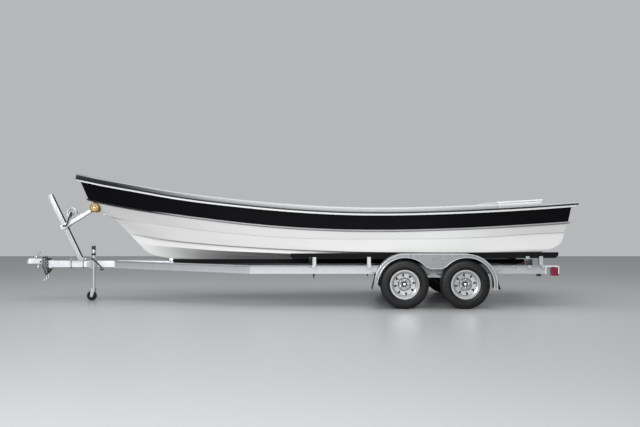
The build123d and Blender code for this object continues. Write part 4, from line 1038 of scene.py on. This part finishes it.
dress(["coupler_latch"], zinc_bright)
coupler_nut = bmesh.new()
turned(coupler_nut, [(0, 0.478), (0.007, 0.479), (0.0085, 0.486), (0.0085, 0.5), (0.0165, 0.502),
                     (0.019, 0.508), (0.019, 0.524), (0.0165, 0.53), (0.011, 0.532), (0.011, 0.56)],
       ball_nut_at, (0, 0, 1), 24, closed=False)
turned(coupler_nut, [(0, 0.0655), (0.008, 0.065), (0.0098, 0.0615), (0.01, 0.05)], latch_nut_at,
       (0, -1, 0), 6, closed=False)
made_piece("coupler_nuts", coupler_nut, "boat_on_trailer", zinc_bright)
coupler_bolt = bmesh.new()
turned(coupler_bolt, [(0, 0.064), (0.0085, 0.0635), (0.011, 0.06), (0.0115, 0.044)], coupler_bolt_at,
       (0, -1, 0), 20, closed=False)
made_piece("coupler_bolt", coupler_bolt, "boat_on_trailer", painted_black)


def chain_link(mesh, centre, run, across):
    """One welded link: a ring of round wire, drawn out along the chain."""
    run = run.normalized()
    across = (across - run * across.dot(run)).normalized()
    frame_turn = Matrix((run, across, run.cross(across))).transposed().to_4x4()
    before = set(mesh.verts)
    wire = bmesh.ops.create_circle(mesh, segments=6, radius=link_wire,
                                   matrix=Matrix.Translation((0, link_half_width, 0))
                                   @ Matrix.Rotation(math.pi / 2, 4, "Y"))["verts"]
    bmesh.ops.spin(mesh, geom=wire + edges_of(wire), cent=(0, 0, 0), axis=(0, 0, 1), dvec=(0, 0, 0),
                   angle=2 * math.pi, steps=14, use_merge=True, use_duplicate=False)
    made = [vert for vert in mesh.verts if vert not in before]
    bmesh.ops.remove_doubles(mesh, verts=made, dist=1e-5)
    made = [vert for vert in mesh.verts if vert not in before]
    for way in (-1, 1):
        bmesh.ops.translate(mesh, verts=[vert for vert in made if vert.co.x * way > 1e-4],
                            vec=(way * link_straight / 2, 0, 0))
    bmesh.ops.transform(mesh, matrix=Matrix.Translation(centre) @ frame_turn, verts=made)


def hang_chain(mesh, points):
    """Links set end to end along a line, each a quarter turn from the last."""
    points = [Vector(point) for point in points]
    pitch = link_straight + 2 * link_half_width - 2 * link_wire
    walked, place = 0.0, pitch / 2
    count = 0
    for start, end in zip(points, points[1:]):
        length = (end - start).length
        while place <= walked + length:
            run = end - start
            across = Vector((1, 0, 0)) if count % 2 else run.cross(Vector((1, 0, 0)))
            if run.cross(across).length < 1e-6:
                across = Vector((0, 0, 1))
            chain_link(mesh, start + run * ((place - walked) / length), run, across)
            count += 1
            place += pitch
        walked += length


def chain_loop(x, low_x, low, top):
    """A loop over the tongue: up the near side, across the top and down the far side.

    Its sides stand at x, and it hangs at low_x down to the low height.
    """
    near = [(low_x, 0, low), (low_x + 0.004, -0.036, low + 0.018), (low_x + 0.006, -0.064, low + 0.06),
            (x, -chain_reach, 0.52), (x, -chain_reach, top - 0.026), (x, -chain_reach + 0.012, top - 0.004),
            (x, -chain_reach + 0.034, top)]
    return near + [(along, -across, height) for along, across, height in reversed(near)]


def chain_hook(x, low):
    """The line of a hook that hangs from a loop's lowest point."""
    bend = [math.radians(40 - step * 30) for step in range(9)]
    return [(x, -0.004, low)] + [(x - hook_lean + math.cos(turn) * hook_radius, -0.006,
                                  low - hook_drop + math.sin(turn) * hook_radius) for turn in bend]


chains = bmesh.new()
for measures in chain_loops:
    hang_chain(chains, chain_loop(*measures))
made_piece("safety_chains", chains, "boat_on_trailer", black_paint("chain_black", 0.35))
hooks = bmesh.new()
for x, low in hook_tops:
    rod_along(hooks, chain_hook(x, low), hook_wire, 8)
made_piece("chain_hooks", hooks, "boat_on_trailer", zinc_bright)

# ==================== jack details
# Bright and black collars lock the inner leg to the tube, and the crank ends in a knob.

jack_line = (-3.098, -0.116, 0)
knob_at = (-2.93, 0, 0.492)
collar = bmesh.new()
turned(collar, [(0.0288, 0.75), (0.0318, 0.7515), (0.0325, 0.756), (0.0325, 0.783), (0.0318, 0.788),
                (0.0288, 0.7895)], jack_line, (0, 0, 1), 40)
turned(collar, [(0.029, 0.483), (0.0312, 0.484), (0.0318, 0.488), (0.0318, 0.502), (0.029, 0.504)],
       jack_line, (0, 0, 1), 40)
made_piece("jack_collars", collar, "jack_swing", zinc_bright)
band = bmesh.new()
turned(band, [(0.0288, 0.705), (0.033, 0.707), (0.0345, 0.712), (0.0345, 0.728), (0.033, 0.734),
              (0.0288, 0.736)], jack_line, (0, 0, 1), 40)
made_piece("jack_band", band, "jack_swing", painted_black)
knob = bmesh.new()
turned(knob, [(0.005, 0.16), (0.012, 0.162), (0.015, 0.172), (0.016, 0.19), (0.0165, 0.215),
              (0.016, 0.24), (0.014, 0.256), (0.009, 0.265), (0, 0.267)],
       knob_at, (0, -1, 0), 28, closed=False)
made_piece("jack_knob", knob, "jack_swing", black_paint("knob_plastic", 0.3))

# ==================== bracket hardware
# Each rail carries two bent black bolts and a nut at its middle bracket, a black plug under it,
# and bolt heads and clips further aft. A bright disc ends each inner bunk.

rail_y = 0.845
bent_bolt_places = (0.3, 0.326)
nut_x = 0.313
plug_x = 0.363
plug_y = 0.858
bolt_heads = ((3.254, 0.581), (3.015, 0.534), (3.05, 0.56))
bunk_disc_at = (-1.852, 0, 0.64)
nut_outline = [(0, 0.717), (0.01, 0.716), (0.0125, 0.71), (0.013, 0.695), (0.0175, 0.694), (0.0175, 0.69),
               (0, 0.69)]
plug_outline = [(0, 0.405), (0.0055, 0.407), (0.007, 0.44), (0.011, 0.446), (0.015, 0.462), (0.0155, 0.4785)]
bolt_outline = [(0, 0.8925), (0.0075, 0.892), (0.01, 0.889), (0.0102, 0.883), (0.0135, 0.8826),
                (0.0135, 0.8802)]
disc_outline = [(0, 0.29), (0.01, 0.29), (0.028, 0.287), (0.0305, 0.284), (0.0305, 0.276), (0.028, 0.274)]

black_parts = bmesh.new()
bright_parts = bmesh.new()
for side in (-1, 1):
    for x in bent_bolt_places:
        rod_along(black_parts, [(x, side * rail_y, 0.566), (x, side * rail_y, 0.705), (x, side * 0.8, 0.712),
                                (x, side * 0.775, 0.7)], 0.006, 8)
    turned(black_parts, nut_outline, (nut_x, side * rail_y, 0), (0, 0, 1), 6, closed=False)
    turned(black_parts, plug_outline, (plug_x, side * plug_y, 0), (0, 0, 1), 20, closed=False)
    for x, z in bolt_heads:
        turned(bright_parts, bolt_outline, (x, 0, z), (0, side, 0), 6, closed=False)
    rounded_block(black_parts, (3.44, 0.83, 0.6), (3.528, 0.868, 0.688), side)
    rounded_block(black_parts, (3.585, 0.842, 0.443), (3.652, 0.872, 0.4775), side)
    rounded_block(bright_parts, (3.31, 0.8805, 0.482), (3.322, 0.889, 0.534), side)
    turned(bright_parts, disc_outline, bunk_disc_at, (0, side, 0), 32, closed=False)
made_piece("black_bolts_and_clips", black_parts, "boat_on_trailer", painted_black)
made_piece("bright_bolts", bright_parts, "boat_on_trailer", zinc_bright)

# ==================== boat fittings
# A stainless cleat is bolted to the foredeck, and round screw-down plates in the sole give
# access to the bilge. A plug drains the motor well.

cleat_at = Vector((-2.35, 0, 1.7106))
cleat_foot = 0.026
drain_at = (3.8, 0, 1.202)
plate_places = (-0.3, 2.42)

fittings = bmesh.new()
horn = [(0, -0.075, 0.03), (0, -0.06, 0.036), (0, -0.03, 0.038), (0, 0.03, 0.038), (0, 0.06, 0.036),
        (0, 0.075, 0.03)]
rod_along(fittings, [cleat_at + Vector(point) for point in horn], 0.0065, 14)
for way in (-1, 1):
    turned(fittings, [(0, 0.039), (0.006, 0.036), (0.007, 0.01), (0.013, 0.004), (0.016, 0.0005)],
           cleat_at + Vector((0, way * cleat_foot, 0)), (0, 0, 1), 20, closed=False)
turned(fittings, [(0, 0.013), (0.013, 0.012), (0.015, 0.01), (0.0155, 0.004), (0.021, 0.003),
                  (0.0215, 0.0005)], drain_at, (0, 0, 1), 32, closed=False)
made_piece("deck_cleat_and_drain", fittings, "boat_on_trailer", stainless)
plates = bmesh.new()
for x in plate_places:
    turned(plates, [(0, 0.824), (0.025, 0.8242), (0.027, 0.8262), (0.033, 0.8262), (0.035, 0.8242),
                    (0.062, 0.8246), (0.064, 0.8228), (0.0665, 0.8228), (0.0685, 0.8256), (0.08, 0.825),
                    (0.083, 0.823), (0.0835, 0.8203)], (x, 0, 0), (0, 0, 1), 48, closed=False)
made_piece("bilge_plates", plates, "boat_on_trailer",
           plain_gelcoat("plate_plastic", (0.62, 0.64, 0.64, 1), 0.35))

# ==================== box corners


def corners(box):
    """The two ends of a box, as lists."""
    return [list(box[0]), list(box[1])]
